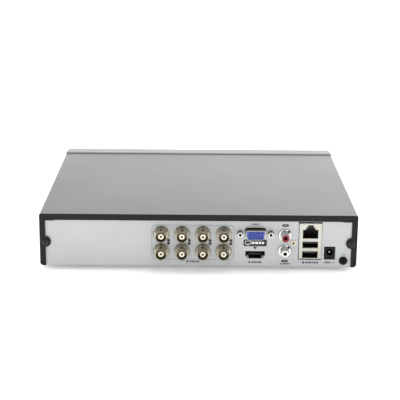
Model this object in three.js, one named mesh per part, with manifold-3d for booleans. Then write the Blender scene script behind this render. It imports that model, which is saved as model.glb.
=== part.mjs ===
// A compact eight-channel video recorder: folded steel tray and cover, plastic fascia, a rear row of sockets,
// a main board, a cooling fan and a 3.5 inch hard drive.
// Millimetres, +Z up, the front faces -Y and the sockets face +Y.
// The origin is on the plane of the feet, in the middle of the whole outline, sockets included.
import * as THREE from 'three';
import { mergeVertices } from 'three/addons/utils/BufferGeometryUtils.js';
import Module from 'manifold-3d';

const wasm = await Module();
wasm.setup();

// ---------------------------------------------------------------- driving dimensions
const CASE = { width: 260, depth: 222, height: 45 };
const FOOT = { radius: 9, height: 3, inset: 26 };
const SHEET = 1; // steel thickness of tray and cover
const GAP = 0.3; // clearance between neighbouring pieces
const SOCKET_REACH = 8.5; // how far the video sockets stand out behind the cover
const SCREW_HOLE = 1.8; // radius of the clearance holes for the case screws

const REAR = (CASE.depth - SOCKET_REACH) / 2; // the cover's rear face
const FRONT = REAR - CASE.depth; // the fascia's front face
const PANEL = REAR - SHEET - GAP; // the outer face of the tray's rear panel
const TIP = REAR + SOCKET_REACH - PANEL; // socket tips, counted from the panel's outer face

// "inset" and "wall" are counted inwards from the case's outline, "foot" up from its underside.
const COVER = {
  sideFoot: 2.4, flangeFoot: 0.5, sideBand: 4.75, topBand: 5.3,
  edge: 1.6, corner: 2.8, step: 0.5, stepWidth: 7.5,
};
const TAB = { inset: 4.6, radius: 4.6, height: 21 };
const VENT = { rear: 13, pitch: 5, count: 7, rows: [[9, 20], [24, 35]], width: 2.2, traySpare: 0.6 };
const TRAY = { sideGap: 0.6, bend: 1.3, wallTop: 43.3, frontTop: 38, windowLow: 12, windowHalf: 118 };

// Front: the fascia, the gloss window let into it, the status lights and the accessory socket.
// The fascia stands a little proud of the cover's top, and its thin lip reaches back over the tray.
const FASCIA = {
  depth: 14.8, wall: 2.2, backInset: 0.2, frontInset: 2.4, rise: 1, slope: 0.3, round: 2.4, low: 0.6,
  lipDepth: 3.7, lipWall: 1.2, lipFoot: 2.8, lipSlant: [1.3, 0.8],
};
const WINDOW = { halfWidth: 118, low: 10, high: 34, depth: 1.3, corner: 4 };
const USB_FRONT = { x: 96, z: 22, width: 13.6, height: 6 };
const LIGHTS = { x: -98, z: 22, pitch: 9, count: 3, hole: 1.4, pip: 1.15 };

// Rear sockets: "across" is measured from the left edge as seen from behind, "up" from the case's underside.
const VIDEO = { across: 99.4, pitch: 17.05, columns: 4, up: [13.3, 28.2], base: 6.45, blockTop: 36 };
const VGA = {
  across: 176.4, up: 29.1, screwPitch: 25.1, screwHole: 1.7, reach: 6.6,
  opening: { width: 18.2, height: 9.4, corner: 2.6 },
};
const HDMI = { across: 176.5, up: 10.5, width: 16.2, height: 6.5 };
const AUDIO = { across: 200.7, up: [13.85, 27.4], hole: 5.5, housingTop: 34 };
const AUDIO_SCREW = { across: 207.8, up: 21, hole: 1.6 };
const COMBO = { across: 221.6, left: 211.8, right: 231.1, low: 6.5, high: 39.05 };
const COMBO_GAP = { left: 0.5, right: 0.3, low: 0.9, high: 1.2 }; // round the can in its cut-out
const NETWORK = { halfWidths: [6.25, 3.7, 2.35], levels: [[24.95, 32.45], [31.85, 34.45], [33.85, 36.35]] };
const USB = { halfWidth: 6.35, levels: [[16.95, 22.25], [8.2, 13.95]], tongues: [20.05, 11.75] };
const POWER = { across: 237.7, left: 233.1, right: 242.3, low: 6.8, high: 18, pinUp: 13.2 };
const GROUND = { across: 249.1, up: 6, washer: 3.55 };

// Inside: depths are counted forwards from the cover's rear face.
const BOARD = {
  top: 6.2, thickness: 1.6, rearGap: 2.8, left: 92, right: 245.5, depth: 126, neck: 46, neckRight: 119,
};
const PROCESSOR = { u: 168, d: 78, size: 27 };
const HEATSINK = { size: 40, fins: 9, finPitch: 4.8, height: 18 };
const BATTERY = { u: 210, d: 90, radius: 10, holder: 12 };
const FAN = { size: 40, depth: 10, duct: 19, centre: 28, up: 21.9, blades: 7, holePitch: 32 };
const DRIVE = {
  width: 101.6, length: 147, height: 26.1, left: 11, rear: 56.5, up: 5,
  screwSpan: 95.25, screwStep: 44.45, screwRear: 41.3,
};
const SPINDLE = { y: -21.5 }; // from the drive's centre
const PIVOT = { x: 26, y: 28 };
const ARM_PARKED = -12.8; // degrees from straight back, heads resting beside the hub
const PLATTER = { radius: 47.2, levels: [11.5, 16.5], thickness: 1.3, hub: 12, clamp: 15 };

const across = (u) => CASE.width / 2 - u;
const fromRear = (d) => REAR - d;
const SIDES = [-1, 1];

// ---------------------------------------------------------------- geometry helpers
// A closed three.js geometry as a manifold solid: shared vertices merged, collapsed triangles dropped.
function solid(geometry) {
  const bare = new THREE.BufferGeometry().setAttribute('position', geometry.getAttribute('position'));
  if (geometry.index) bare.setIndex(geometry.index);
  const merged = mergeVertices(bare, 1e-4);
  const kept = [];
  for (let i = 0; i < merged.index.count; i += 3) {
    const [a, b, c] = [0, 1, 2].map((k) => merged.index.getX(i + k));
    if (a !== b && b !== c && a !== c) kept.push(a, b, c);
  }
  return new wasm.Manifold(new wasm.Mesh({
    numProp: 3,
    vertProperties: merged.attributes.position.array,
    triVerts: new Uint32Array(kept),
  }));
}

function geometryOf(body) {
  const mesh = body.getMesh();
  const geometry = new THREE.BufferGeometry();
  geometry.setAttribute('position', new THREE.BufferAttribute(new Float32Array(mesh.vertProperties), 3));
  geometry.setIndex(new THREE.BufferAttribute(new Uint32Array(mesh.triVerts), 1));
  geometry.computeVertexNormals();
  return geometry;
}

const join = (bodies) => bodies.reduce((whole, body) => whole.add(body));
const cut = (body, tools) => tools.reduce((rest, tool) => rest.subtract(tool), body);

// A box given by its extents along x, y and z.
function block([x0, x1], [y0, y1], [z0, z1]) {
  const box = new THREE.BoxGeometry(x1 - x0, y1 - y0, z1 - z0);
  return solid(box.translate((x0 + x1) / 2, (y0 + y1) / 2, (z0 + z1) / 2));
}

// A rod along y through (x, z).
function rod(x, z, radius, [y0, y1], segments = 24) {
  const cylinder = new THREE.CylinderGeometry(radius, radius, y1 - y0, segments);
  return solid(cylinder.translate(x, (y0 + y1) / 2, z));
}

// A rod along z through (x, y).
function post(x, y, radius, [z0, z1], segments = 24) {
  const cylinder = new THREE.CylinderGeometry(radius, radius, z1 - z0, segments);
  return solid(cylinder.rotateX(Math.PI / 2).translate(x, y, (z0 + z1) / 2));
}

// A profile of [radius, y] points turned round the y axis; it starts and ends on the axis, or closes.
function turned(profile, segments = 24) {
  const points = profile.map(([r, y]) => new THREE.Vector2(r, y));
  return solid(new THREE.LatheGeometry(points, segments));
}

// A turned profile whose axis is z: its [radius, z] points.
function turnedUp(profile, segments = 24) {
  const points = profile.map(([r, z]) => new THREE.Vector2(r, z));
  return solid(new THREE.LatheGeometry(points, segments).rotateX(Math.PI / 2));
}

function shapeOf(points) {
  return new THREE.Shape(points.map(([a, b]) => new THREE.Vector2(a, b)));
}

// A rectangle in the drawing plane with its corners rounded.
function roundedRectangle([a0, a1], [b0, b1], radius) {
  const shape = new THREE.Shape();
  shape.absarc(a1 - radius, b1 - radius, radius, 0, Math.PI / 2);
  shape.absarc(a0 + radius, b1 - radius, radius, Math.PI / 2, Math.PI);
  shape.absarc(a0 + radius, b0 + radius, radius, Math.PI, Math.PI * 1.5);
  shape.absarc(a1 - radius, b0 + radius, radius, Math.PI * 1.5, Math.PI * 2);
  return shape;
}

// A shape drawn in (x, z) and pulled along y.
function prismY(shape, [y0, y1], curveSegments = 5) {
  const pulled = new THREE.ExtrudeGeometry(shape, { depth: y1 - y0, bevelEnabled: false, curveSegments });
  return solid(pulled.rotateX(Math.PI / 2).translate(0, y1, 0));
}

// A shape drawn in (y, z) and pulled along x.
function prismX(shape, [x0, x1], curveSegments = 5) {
  const pulled = new THREE.ExtrudeGeometry(shape, { depth: x1 - x0, bevelEnabled: false, curveSegments });
  return solid(pulled.rotateY(Math.PI / 2).rotateX(Math.PI / 2).translate(x0, 0, 0));
}

// A shape drawn in (x, y) and pulled along z.
function prismZ(shape, [z0, z1], curveSegments = 5) {
  const pulled = new THREE.ExtrudeGeometry(shape, { depth: z1 - z0, bevelEnabled: false, curveSegments });
  return solid(pulled.translate(0, 0, z0));
}

// An upright slot with softened ends, pulled along x through a side wall.
function slotX(y, [z0, z1], width, [x0, x1]) {
  return prismX(roundedRectangle([y - width / 2, y + width / 2], [z0, z1], width * 0.3), [x0, x1], 1);
}

// A closed tube or strip following a smooth curve through the points.
function swept(section, points, steps) {
  const curve = new THREE.CatmullRomCurve3(points.map((p) => new THREE.Vector3(...p)));
  const settings = { steps, bevelEnabled: false, extrudePath: curve, curveSegments: 1 };
  return solid(new THREE.ExtrudeGeometry(section, settings));
}

// A round section for a swept wire, as an eight-sided outline.
function wireSection(radius) {
  const side = radius * 0.92;
  return roundedRectangle([-side, side], [-side, side], side * 0.6);
}

// ---------------------------------------------------------------- materials
function finish(color, roughness, metalness) {
  return new THREE.MeshStandardMaterial({ color, roughness, metalness });
}

const MATERIAL = {
  tray: finish(0xc9cccf, 0.42, 0.55),
  cover: finish(0x2a2b2c, 0.38, 0.2),
  fascia: finish(0xd6d5d5, 0.35, 0),
  window: finish(0x0c0c0e, 0.08, 0),
  lens: finish(0xdfe9ee, 0.1, 0),
  rubber: finish(0x1d1d1e, 0.85, 0),
  nickel: finish(0xb5b0a2, 0.25, 1),
  brightNickel: finish(0xd4d4d2, 0.18, 1),
  tin: finish(0xe3dfd4, 0.3, 0.9),
  blackSteel: finish(0x242526, 0.4, 0.6),
  insulator: finish(0xece4d2, 0.5, 0),
  blue: finish(0x4450b0, 0.45, 0),
  red: finish(0xa32a3c, 0.4, 0),
  white: finish(0xf0f0ee, 0.4, 0),
  blackPlastic: finish(0x1c1d1e, 0.5, 0),
  board: finish(0x1d5c38, 0.45, 0),
  aluminium: finish(0xc4c6c8, 0.35, 1),
  cable: finish(0x8c2020, 0.5, 0),
  wire: finish(0x202022, 0.5, 0),
};

// ---------------------------------------------------------------- panel cut-outs
// The D outline of the monitor socket: wide side up, corners rounded.
function dOutline(width, height, radius) {
  const lean = height * 0.18;
  const [top, low] = [height / 2, -height / 2];
  const corners = [[-width / 2, top], [-width / 2 + lean, low], [width / 2 - lean, low], [width / 2, top]];
  return roundedPolygon(corners, radius);
}

// The outline of the digital video socket: square shoulders above, both lower corners cut off.
function digitalOutline(width, height) {
  const [w, h] = [width / 2, height / 2];
  return shapeOf([[-w, h], [-w, -h * 0.2], [-w * 0.68, -h], [w * 0.68, -h], [w, -h * 0.2], [w, h]]);
}

// A polygon whose corners are rounded by quadratic curves that leave each side one radius early.
function roundedPolygon(corners, radius) {
  const shape = new THREE.Shape();
  const towards = (there, here) => new THREE.Vector2(...there).sub(here).setLength(radius).add(here);
  corners.forEach(([x, z], i) => {
    const here = new THREE.Vector2(x, z);
    const before = towards(corners.at(i - 1), here);
    const after = towards(corners[(i + 1) % corners.length], here);
    if (i === 0) shape.moveTo(before.x, before.y);
    else shape.lineTo(before.x, before.y);
    shape.quadraticCurveTo(x, z, after.x, after.y);
  });
  shape.closePath();
  return shape;
}

function panelOpenings() {
  const through = [PANEL - SHEET - 4, PANEL + 2];
  const openings = [];
  for (let column = 0; column < VIDEO.columns; column += 1) {
    for (const up of VIDEO.up) {
      openings.push(rod(across(VIDEO.across + column * VIDEO.pitch), up, VIDEO.base + GAP, through));
    }
  }
  const { width, height, corner } = VGA.opening;
  const monitor = prismY(dOutline(width, height, corner), through, 3);
  openings.push(monitor.translate([across(VGA.across), 0, VGA.up]));
  for (const side of SIDES) {
    openings.push(rod(across(VGA.across) + (side * VGA.screwPitch) / 2, VGA.up, VGA.screwHole, through, 12));
    openings.push(rod(side * (CASE.width / 2 - TAB.inset), TAB.height, SCREW_HOLE, through, 16));
  }
  openings.push(prismY(digitalOutline(HDMI.width, HDMI.height), through)
    .translate([across(HDMI.across), 0, HDMI.up]));
  for (const up of AUDIO.up) openings.push(rod(across(AUDIO.across), up, AUDIO.hole, through));
  openings.push(rod(across(AUDIO_SCREW.across), AUDIO_SCREW.up, AUDIO_SCREW.hole, through, 12));
  openings.push(block([across(COMBO.right), across(COMBO.left)], through, [COMBO.low, COMBO.high]));
  openings.push(block([across(POWER.right), across(POWER.left)], through, [POWER.low, POWER.high]));
  openings.push(rod(across(GROUND.across), GROUND.up, SCREW_HOLE, through, 16));
  return openings;
}

// Upright slots that let air through one side wall, in rows of the given heights.
function sideVents(side, [inner, outer], rows, width) {
  const vents = [];
  const reach = side > 0 ? [inner, outer] : [-outer, -inner];
  for (let i = 0; i < VENT.count; i += 1) {
    for (const row of rows) vents.push(slotX(fromRear(VENT.rear + i * VENT.pitch), row, width, reach));
  }
  return vents;
}

// ---------------------------------------------------------------- case
function chassisTray() {
  const halfWidth = CASE.width / 2 - SHEET - TRAY.sideGap;
  const front = FRONT + FASCIA.depth + 0.8;
  const tub = (inset, low, high) => {
    const bend = TRAY.bend - inset;
    const ends = roundedRectangle([front + inset, PANEL - inset], [low, high + 10], bend);
    const sides = roundedRectangle([-halfWidth + inset, halfWidth - inset], [low, high + 10], bend);
    return prismX(ends, [-halfWidth, halfWidth], 4)
      .intersect(prismY(sides, [front, PANEL], 4))
      .subtract(block([-200, 200], [-200, 200], [high, 80]));
  };
  const shell = tub(0, 0, TRAY.wallTop).subtract(tub(SHEET, SHEET, TRAY.wallTop + 8));
  const tabX = CASE.width / 2 - TAB.inset;
  const within = block([-halfWidth, halfWidth], [0, PANEL], [0, 60]);
  const bush = [PANEL - 4, PANEL - SHEET / 2]; // the threaded collars behind the panel
  const supports = [
    ...boardSupports().map(([x, y]) => post(x, y, 3, [SHEET / 2, BOARD.top - BOARD.thickness - GAP], 12)),
    ...driveHoles().map(([x, y]) => post(x, y, 5, [SHEET / 2, DRIVE.up - GAP], 12)),
    rod(across(GROUND.across), GROUND.up, 3.4, bush, 16),
    ...SIDES.map((side) => rod(side * tabX, TAB.height, 3, bush, 16).intersect(within)),
  ];
  // room for the cover's turned-in corners at the foot of both side walls
  const reliefs = SIDES.map((side) => {
    const x = [side * (halfWidth - 1.8), side * (halfWidth + 5)].sort((a, b) => a - b);
    return block(x, [PANEL - 9, PANEL + 1], [-1, 2.6]);
  });
  const frontWall = [front - 1, front + SHEET + 1];
  const { windowHalf, windowLow, frontTop } = TRAY;
  const frontWindow = block([-windowHalf, windowHalf], frontWall, [windowLow, frontTop + 20]);
  const wallTrim = block([-halfWidth + 4, halfWidth - 4], frontWall, [frontTop, 60]);
  const wallReach = [halfWidth - SHEET - 1, halfWidth + 1];
  const trayVents = [VENT.rows[0][0] - VENT.traySpare, VENT.rows[1][1] + VENT.traySpare];
  return cut(join([shell, ...supports]), [
    ...panelOpenings(),
    ...reliefs,
    frontWindow,
    wallTrim,
    ...SIDES.flatMap((side) => sideVents(side, wallReach, [trayVents], VENT.width + VENT.traySpare)),
    ...driveHoles().map(([x, y]) => post(x, y, 1.9, [-1, 10], 10)),
  ]);
}

// Four threaded supports under the corners of the main board.
function boardSupports() {
  const rear = fromRear(30);
  const front = PANEL - SHEET - BOARD.depth + 6;
  return [[across(160), rear], [across(BOARD.right - 6), rear],
    [across(BOARD.neckRight + 8), front], [across(BOARD.right - 6), front]];
}

// The middle of the hard drive, in (x, y).
const driveCentre = [across(DRIVE.left + DRIVE.width / 2), fromRear(DRIVE.rear + DRIVE.length / 2)];

// The drive's four underside screw positions, in (x, y).
function driveHoles() {
  const y = fromRear(DRIVE.rear + DRIVE.screwRear);
  return SIDES.flatMap((side) => [0, 1].map((row) => [
    driveCentre[0] + (side * DRIVE.screwSpan) / 2, y - row * DRIVE.screwStep]));
}

function topCover() {
  const half = CASE.width / 2;
  const front = FRONT + FASCIA.depth + FASCIA.lipDepth + GAP;
  const outer = roundedRectangle([-half, half], [-20, CASE.height], COVER.edge);
  const innerHalf = half - SHEET;
  const inner = roundedRectangle([-innerHalf, innerHalf], [-20, CASE.height - SHEET], COVER.edge - SHEET);
  const wrap = prismY(outer, [front, REAR]).subtract(prismY(inner, [front - 1, REAR + 1]))
    .subtract(block([-200, 200], [-200, 200], [-30, COVER.sideFoot]));
  const reach = [half - SHEET - 0.5, half + 1];
  return cut(wrap.add(coverFlange()), SIDES.flatMap((side) => [
    rod(side * (half - TAB.inset), TAB.height, SCREW_HOLE, [REAR - 3, REAR + 1], 16),
    ...sideVents(side, reach, VENT.rows, VENT.width),
  ]));
}

// The cover's rear edge turned in: a band over the top and down both sides, with a round screw tab each side.
function coverFlange() {
  const half = CASE.width / 2;
  const [innerX, innerTop] = [half - COVER.sideBand, CASE.height - COVER.topBand];
  const shape = new THREE.Shape();
  const quarter = Math.PI / 2;
  const foot = COVER.flangeFoot;
  const nick = 0.7; // softening of the band's inner lower corner
  shape.moveTo(innerX, foot + nick);
  shape.quadraticCurveTo(innerX, foot, innerX + nick, foot);
  shape.absarc(half - COVER.corner, foot + COVER.corner, COVER.corner, -quarter, 0);
  shape.absarc(half - COVER.edge, CASE.height - COVER.edge, COVER.edge, 0, quarter);
  shape.absarc(-half + COVER.edge, CASE.height - COVER.edge, COVER.edge, quarter, 2 * quarter);
  shape.absarc(-half + COVER.corner, foot + COVER.corner, COVER.corner, 2 * quarter, 3 * quarter);
  shape.lineTo(-innerX - nick, foot);
  shape.quadraticCurveTo(-innerX, foot, -innerX, foot + nick);
  shape.lineTo(-innerX, innerTop - COVER.step);
  shape.lineTo(-innerX + COVER.stepWidth, innerTop - COVER.step);
  shape.lineTo(-innerX + COVER.stepWidth, innerTop);
  shape.lineTo(innerX - COVER.stepWidth, innerTop);
  shape.lineTo(innerX - COVER.stepWidth, innerTop - COVER.step);
  shape.lineTo(innerX, innerTop - COVER.step);
  shape.closePath();
  const sheet = [REAR - SHEET, REAR];
  const tabs = SIDES.map((side) => rod(side * (half - TAB.inset), TAB.height, TAB.radius, sheet));
  return join([prismY(shape, sheet), ...tabs]);
}

// A pan-head screw along y: head from y = 0 outwards with a cross recess, shank inwards.
function panScrew(headRadius, headHeight, shankRadius, shankLength) {
  const body = turned([
    [0, -shankLength], [shankRadius, -shankLength], [shankRadius, 0], [headRadius, 0],
    [headRadius, headHeight * 0.45], [headRadius * 0.75, headHeight * 0.88], [headRadius * 0.3, headHeight],
    [0, headHeight],
  ], 16);
  const recess = [headHeight * 0.45, headHeight + 1];
  const [long, thin] = [headRadius * 0.55, headRadius * 0.13];
  const cross = [block([-long, long], recess, [-thin, thin]), block([-thin, thin], recess, [-long, long])];
  return cut(body, cross);
}

// The fascia's outlines from the side and from above, both drawn smaller by inset. They run on past its back
// and are cut off square there, or extraDepth further. The tapered sides reach full width before the back.
function fasciaForm(inset, extraDepth) {
  const half = CASE.width / 2;
  const back = FRONT + FASCIA.depth;
  const taperEnd = back - 4;
  const runOn = back + 12;
  const round = FASCIA.round - inset * 0.6;
  const [low, high] = [FASCIA.low + inset, CASE.height + FASCIA.rise - inset];
  const side = roundedPolygon([
    [FRONT + inset, low],
    [runOn, low],
    [runOn, high + FASCIA.slope * 0.4],
    [FRONT + inset, high - FASCIA.slope],
  ], round);
  const [backHalf, frontHalf] = [half - FASCIA.backInset - inset, half - FASCIA.frontInset - inset];
  const plan = roundedPolygon([
    [-backHalf, runOn],
    [-backHalf, taperEnd],
    [-frontHalf, FRONT + inset],
    [frontHalf, FRONT + inset],
    [backHalf, taperEnd],
    [backHalf, runOn],
  ], round);
  return prismX(side, [-half, half], 3).intersect(prismZ(plan, [0, 60], 3))
    .subtract(block([-200, 200], [back + extraDepth, 200], [-1, 80]));
}

function frontFascia() {
  const shell = fasciaForm(0, 0).subtract(fasciaForm(FASCIA.wall, 4));
  const back = FRONT + FASCIA.depth;
  const lip = fasciaForm(0, FASCIA.lipDepth).subtract(fasciaForm(FASCIA.lipWall, 6))
    .intersect(block([-200, 200], [back - 0.5, back + FASCIA.lipDepth], [FASCIA.lipFoot, 80]));
  // the lip's upper edge slants down to the cover
  const [slantDepth, slantDrop] = FASCIA.lipSlant;
  const [edge, top] = [back + FASCIA.lipDepth, CASE.height + FASCIA.rise + 0.1];
  const slant = prismX(shapeOf([
    [edge - slantDepth, top], [edge, top - slantDrop], [edge + 1, top - slantDrop], [edge + 1, top + 1],
    [edge - slantDepth, top + 1],
  ]), [-200, 200]);
  const openings = [windowPlate(0), ...lightHoles(LIGHTS.hole), usbOpening([FRONT - 1, FRONT + 5], 0)];
  return cut(shell.add(lip), [slant, ...openings]);
}

// The gloss window's outline, smaller than its pocket by the clearance on each side.
function windowPlate(clearance) {
  const { halfWidth, low, high, depth, corner } = WINDOW;
  const half = halfWidth - clearance;
  const shape = roundedRectangle([-half, half], [low + clearance, high - clearance], corner);
  return prismY(shape, [FRONT + clearance / 2, FRONT + depth - clearance], 4);
}

function lightHoles(radius) {
  return Array.from({ length: LIGHTS.count }, (_, i) =>
    rod(LIGHTS.x + i * LIGHTS.pitch, LIGHTS.z, radius, [FRONT - 1, FRONT + 5], 12));
}

function usbOpening(yRange, clearance) {
  const [w, h] = [USB_FRONT.width / 2 + clearance, USB_FRONT.height / 2 + clearance];
  return block([USB_FRONT.x - w, USB_FRONT.x + w], yRange, [USB_FRONT.z - h, USB_FRONT.z + h]);
}

function fasciaWindow() {
  return cut(windowPlate(0.2), [...lightHoles(LIGHTS.hole), usbOpening([FRONT - 1, FRONT + 5], 0)]);
}

// A clear bar behind the fascia whose round pips reach through to the window's face.
function lightGuide() {
  const span = LIGHTS.pitch * (LIGHTS.count - 1);
  const { x, z } = LIGHTS;
  const bar = block([x - 4, x + span + 4], [FRONT + 2.6, FRONT + 6.5], [z - 3, z + 3]);
  const pips = Array.from({ length: LIGHTS.count }, (_, i) =>
    rod(x + i * LIGHTS.pitch, z, LIGHTS.pip, [FRONT + 0.3, FRONT + 4], 12));
  return join([bar, ...pips]);
}

function frontBoard() {
  const board = block([-112, 112], [FRONT + 13.2, FRONT + 14.4], [13, 32]);
  const lights = Array.from({ length: LIGHTS.count }, (_, i) => block(
    [LIGHTS.x + i * LIGHTS.pitch - 1.6, LIGHTS.x + i * LIGHTS.pitch + 1.6],
    [FRONT + 11.8, FRONT + 13.3], [LIGHTS.z - 0.8, LIGHTS.z + 0.8]));
  return join([board, ...lights]);
}

// The front accessory socket: a steel sleeve with its tongue.
function frontUsbPort() {
  const { x, z } = USB_FRONT;
  const sleeve = block([x - 6.6, x + 6.6], [FRONT + 0.4, FRONT + 12.9], [z - 2.8, z + 2.8]);
  const mouth = block([x - 6.2, x + 6.2], [FRONT, FRONT + 10.5], [z - 2.4, z + 2.4]);
  const tongue = block([x - 5.6, x + 5.6], [FRONT + 1.6, FRONT + 11], [z + 0.2, z + 1.9]);
  return sleeve.subtract(mouth).add(tongue);
}

function foot() {
  const { radius } = FOOT;
  const top = FOOT.height - 0.02;
  return turnedUp([[0, 0], [radius - 1.2, 0], [radius - 0.5, 0.4], [radius, top], [0, top]], 28);
}

// ---------------------------------------------------------------- rear sockets
// Each is drawn about its own axis, with y = 0 on the panel's outer face.

// One die-cast pair of coaxial video sockets: a block on the board with a bayonet barrel above another.
function videoPair() {
  const depth = 13;
  const parts = [block([-7.2, 7.2], [-SHEET - GAP - depth, -SHEET - GAP], [BOARD.top + 0.1, VIDEO.blockTop])];
  const bores = [];
  for (const up of VIDEO.up) {
    const barrel = turned([
      [0, -SHEET - 2], [VIDEO.base, -SHEET - 2], [VIDEO.base, 0.7], [5.9, 0.9], [5.9, 2.9], [4.8, 3.1],
      [4.8, TIP - 0.3], [4.55, TIP], [0, TIP],
    ], 20).translate([0, 0, up]);
    const stud = post(0, TIP - 3.6, 1, [up - 5.7, up + 5.7], 8);
    parts.push(barrel, stud);
    bores.push(rod(0, up, 4.05, [TIP - 8.2, TIP + 1], 20));
  }
  return cut(join(parts), bores);
}

// The pale plastic core in a video socket, with the hole for the centre pin.
function videoInsulator() {
  return turned([[0, TIP - 8.1], [3.85, TIP - 8.1], [3.85, TIP - 5.6], [2.45, TIP - 5.6], [2.45, TIP - 0.95],
    [2.3, TIP - 0.7], [1.05, TIP - 0.7], [0.75, TIP - 1], [0.75, TIP - 6], [0, TIP - 6]], 12);
}

function vgaShell() {
  const flange = block([-15.4, 15.4], [-SHEET - GAP - 1, -SHEET - GAP], [-6, 6]);
  const collar = prismY(dOutline(16.4, 7.9, 2.2), [-SHEET - GAP - 0.5, VGA.reach], 3);
  const bore = prismY(dOutline(15.6, 7.1, 1.9), [-SHEET - GAP - 2, VGA.reach + 1], 3);
  const holes = SIDES.map((side) => rod((side * VGA.screwPitch) / 2, 0, 1.7, [-6, 2], 12));
  return cut(join([flange, collar]), [bore, ...holes]);
}

// The blue core with its three staggered rows of five contact holes, and the block behind the panel.
function vgaInsert() {
  const core = prismY(dOutline(15, 6.5, 1.6), [-SHEET - GAP - 1.5, VGA.reach - 0.3], 3);
  const base = block([-15, 15], [-14, -SHEET - GAP - 1.3], [-VGA.up + BOARD.top + 8.6, 6]);
  const holes = [];
  for (let row = -1; row <= 1; row += 1) {
    for (let i = 0; i < 5; i += 1) {
      const x = (i - 2) * 2.29 - (row === 0 ? -0.57 : 0.57);
      holes.push(rod(x, row * 1.98, 0.55, [VGA.reach - 4, VGA.reach + 1], 6));
    }
  }
  const screwRoom = SIDES.map((side) => rod((side * VGA.screwPitch) / 2, 0, 1.7, [-8, 2], 12));
  return cut(join([core, base]), [...holes, ...screwRoom]);
}

// A hexagonal stand-off that clamps the socket to the panel and takes the plug's screw.
function jackscrew() {
  const hex = rod(0, 0, 2.5, [0.1, 5.2], 6);
  const shank = rod(0, 0, 1.4, [-6, 0.2], 12);
  return hex.add(shank).subtract(rod(0, 0, 1.15, [1.2, 7], 12));
}

function hdmiShell() {
  const outer = prismY(digitalOutline(15.7, 6), [-13, -0.2]);
  const inner = prismY(digitalOutline(15, 5.3), [-11.5, 1]);
  const feet = [[5.6, 6.6], [-6.6, -5.6]].map((x) => block(x, [-9, -6], [-HDMI.up + BOARD.top + 0.1, -0.8]));
  return join([outer.subtract(inner), ...feet]);
}

function hdmiTongue() {
  return block([-5.6, 5.6], [-11.3, -2], [-0.4, 0.9]);
}

function audioHousing() {
  const body = block([-5.5, 5.5], [-15, -SHEET - GAP - 0.6], [BOARD.top + 0.1, AUDIO.housingTop]);
  return cut(body, AUDIO.up.map((up) => rod(0, up, 4.6, [-11, 0])));
}

// A plated phono socket: a flange filling its panel hole and a plain barrel.
function audioShell() {
  return turned([
    [3, -10.5], [4.3, -10.5], [4.3, -SHEET - GAP], [5.25, -SHEET - GAP], [5.25, 0.6], [3.95, 0.9],
    [3.6, 2.1], [3.6, TIP - 1.3], [3.4, TIP - 1], [3, TIP - 1], [3, -10.5],
  ]);
}

function audioInsulator() {
  return turned([[0, -10.2], [2.7, -10.2], [2.7, TIP - 1.6], [1.4, TIP - 1.6], [1.4, -8], [0, -8]], 20);
}

// The cavities of the network socket, which steps up to its latch slot, and of the two accessory sockets.
function comboCavities([y0, y1], slack) {
  const x = across(COMBO.across);
  const cell = (halfWidth, [low, high]) => block([x - halfWidth - slack, x + halfWidth + slack], [y0, y1],
    [low - slack, high + slack]);
  return [
    join(NETWORK.halfWidths.map((halfWidth, i) => cell(halfWidth, NETWORK.levels[i]))),
    ...USB.levels.map((level) => cell(USB.halfWidth, level)),
  ];
}

// The plated steel can round the stacked sockets: a front with three openings, two sides, a top and a back.
function comboShield() {
  const [x0, x1] = [across(COMBO.right) + COMBO_GAP.right, across(COMBO.left) - COMBO_GAP.left];
  const [z0, z1] = [COMBO.low + COMBO_GAP.low, COMBO.high - COMBO_GAP.high];
  const skin = 0.6;
  const can = block([x0, x1], [-21, GAP], [z0, z1]);
  const room = block([x0 + skin, x1 - skin], [-21 + skin, GAP - skin], [z0 - 1, z1 - skin]);
  const legs = [x0, x1 - skin].flatMap((x) => [-18, -6].map((y) =>
    block([x, x + skin], [y, y + 3], [BOARD.top + 0.05, z0 + 1])));
  return cut(can, [room, ...comboCavities([-1, 1], 0)]).add(join(legs));
}

// The moulded core inside the can: three sockets, the lower two each with a tongue.
function comboCore() {
  const inner = 0.9;
  const x = [across(COMBO.right) + COMBO_GAP.right + inner, across(COMBO.left) - COMBO_GAP.left - inner];
  const z = [COMBO.low + COMBO_GAP.low + GAP, COMBO.high - COMBO_GAP.high - inner];
  const body = block(x, [-20, -0.6], z);
  const tongues = USB.tongues.map((low) => block([across(COMBO.across) - 5.6, across(COMBO.across) + 5.6],
    [-11, -2.2], [low, low + 1.5]));
  return join([cut(body, comboCavities([-10.5, 1], 0.1)), ...tongues]);
}

function powerJack() {
  const body = block([across(POWER.right) + GAP, across(POWER.left) - GAP], [-13.5, 0.5],
    [POWER.low + GAP, POWER.high - GAP]);
  return body.subtract(rod(across(POWER.across), POWER.pinUp, 3.1, [-9, 1], 20));
}

function powerPin() {
  return turned([[0, -8.9], [1, -8.9], [1, -1.6], [0.6, -1.1], [0, -0.9]], 12);
}

function groundWasher() {
  return turned([[1.75, 0.1], [GROUND.washer, 0.1], [GROUND.washer, 0.9], [1.75, 0.9], [1.75, 0.1]]);
}

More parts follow.
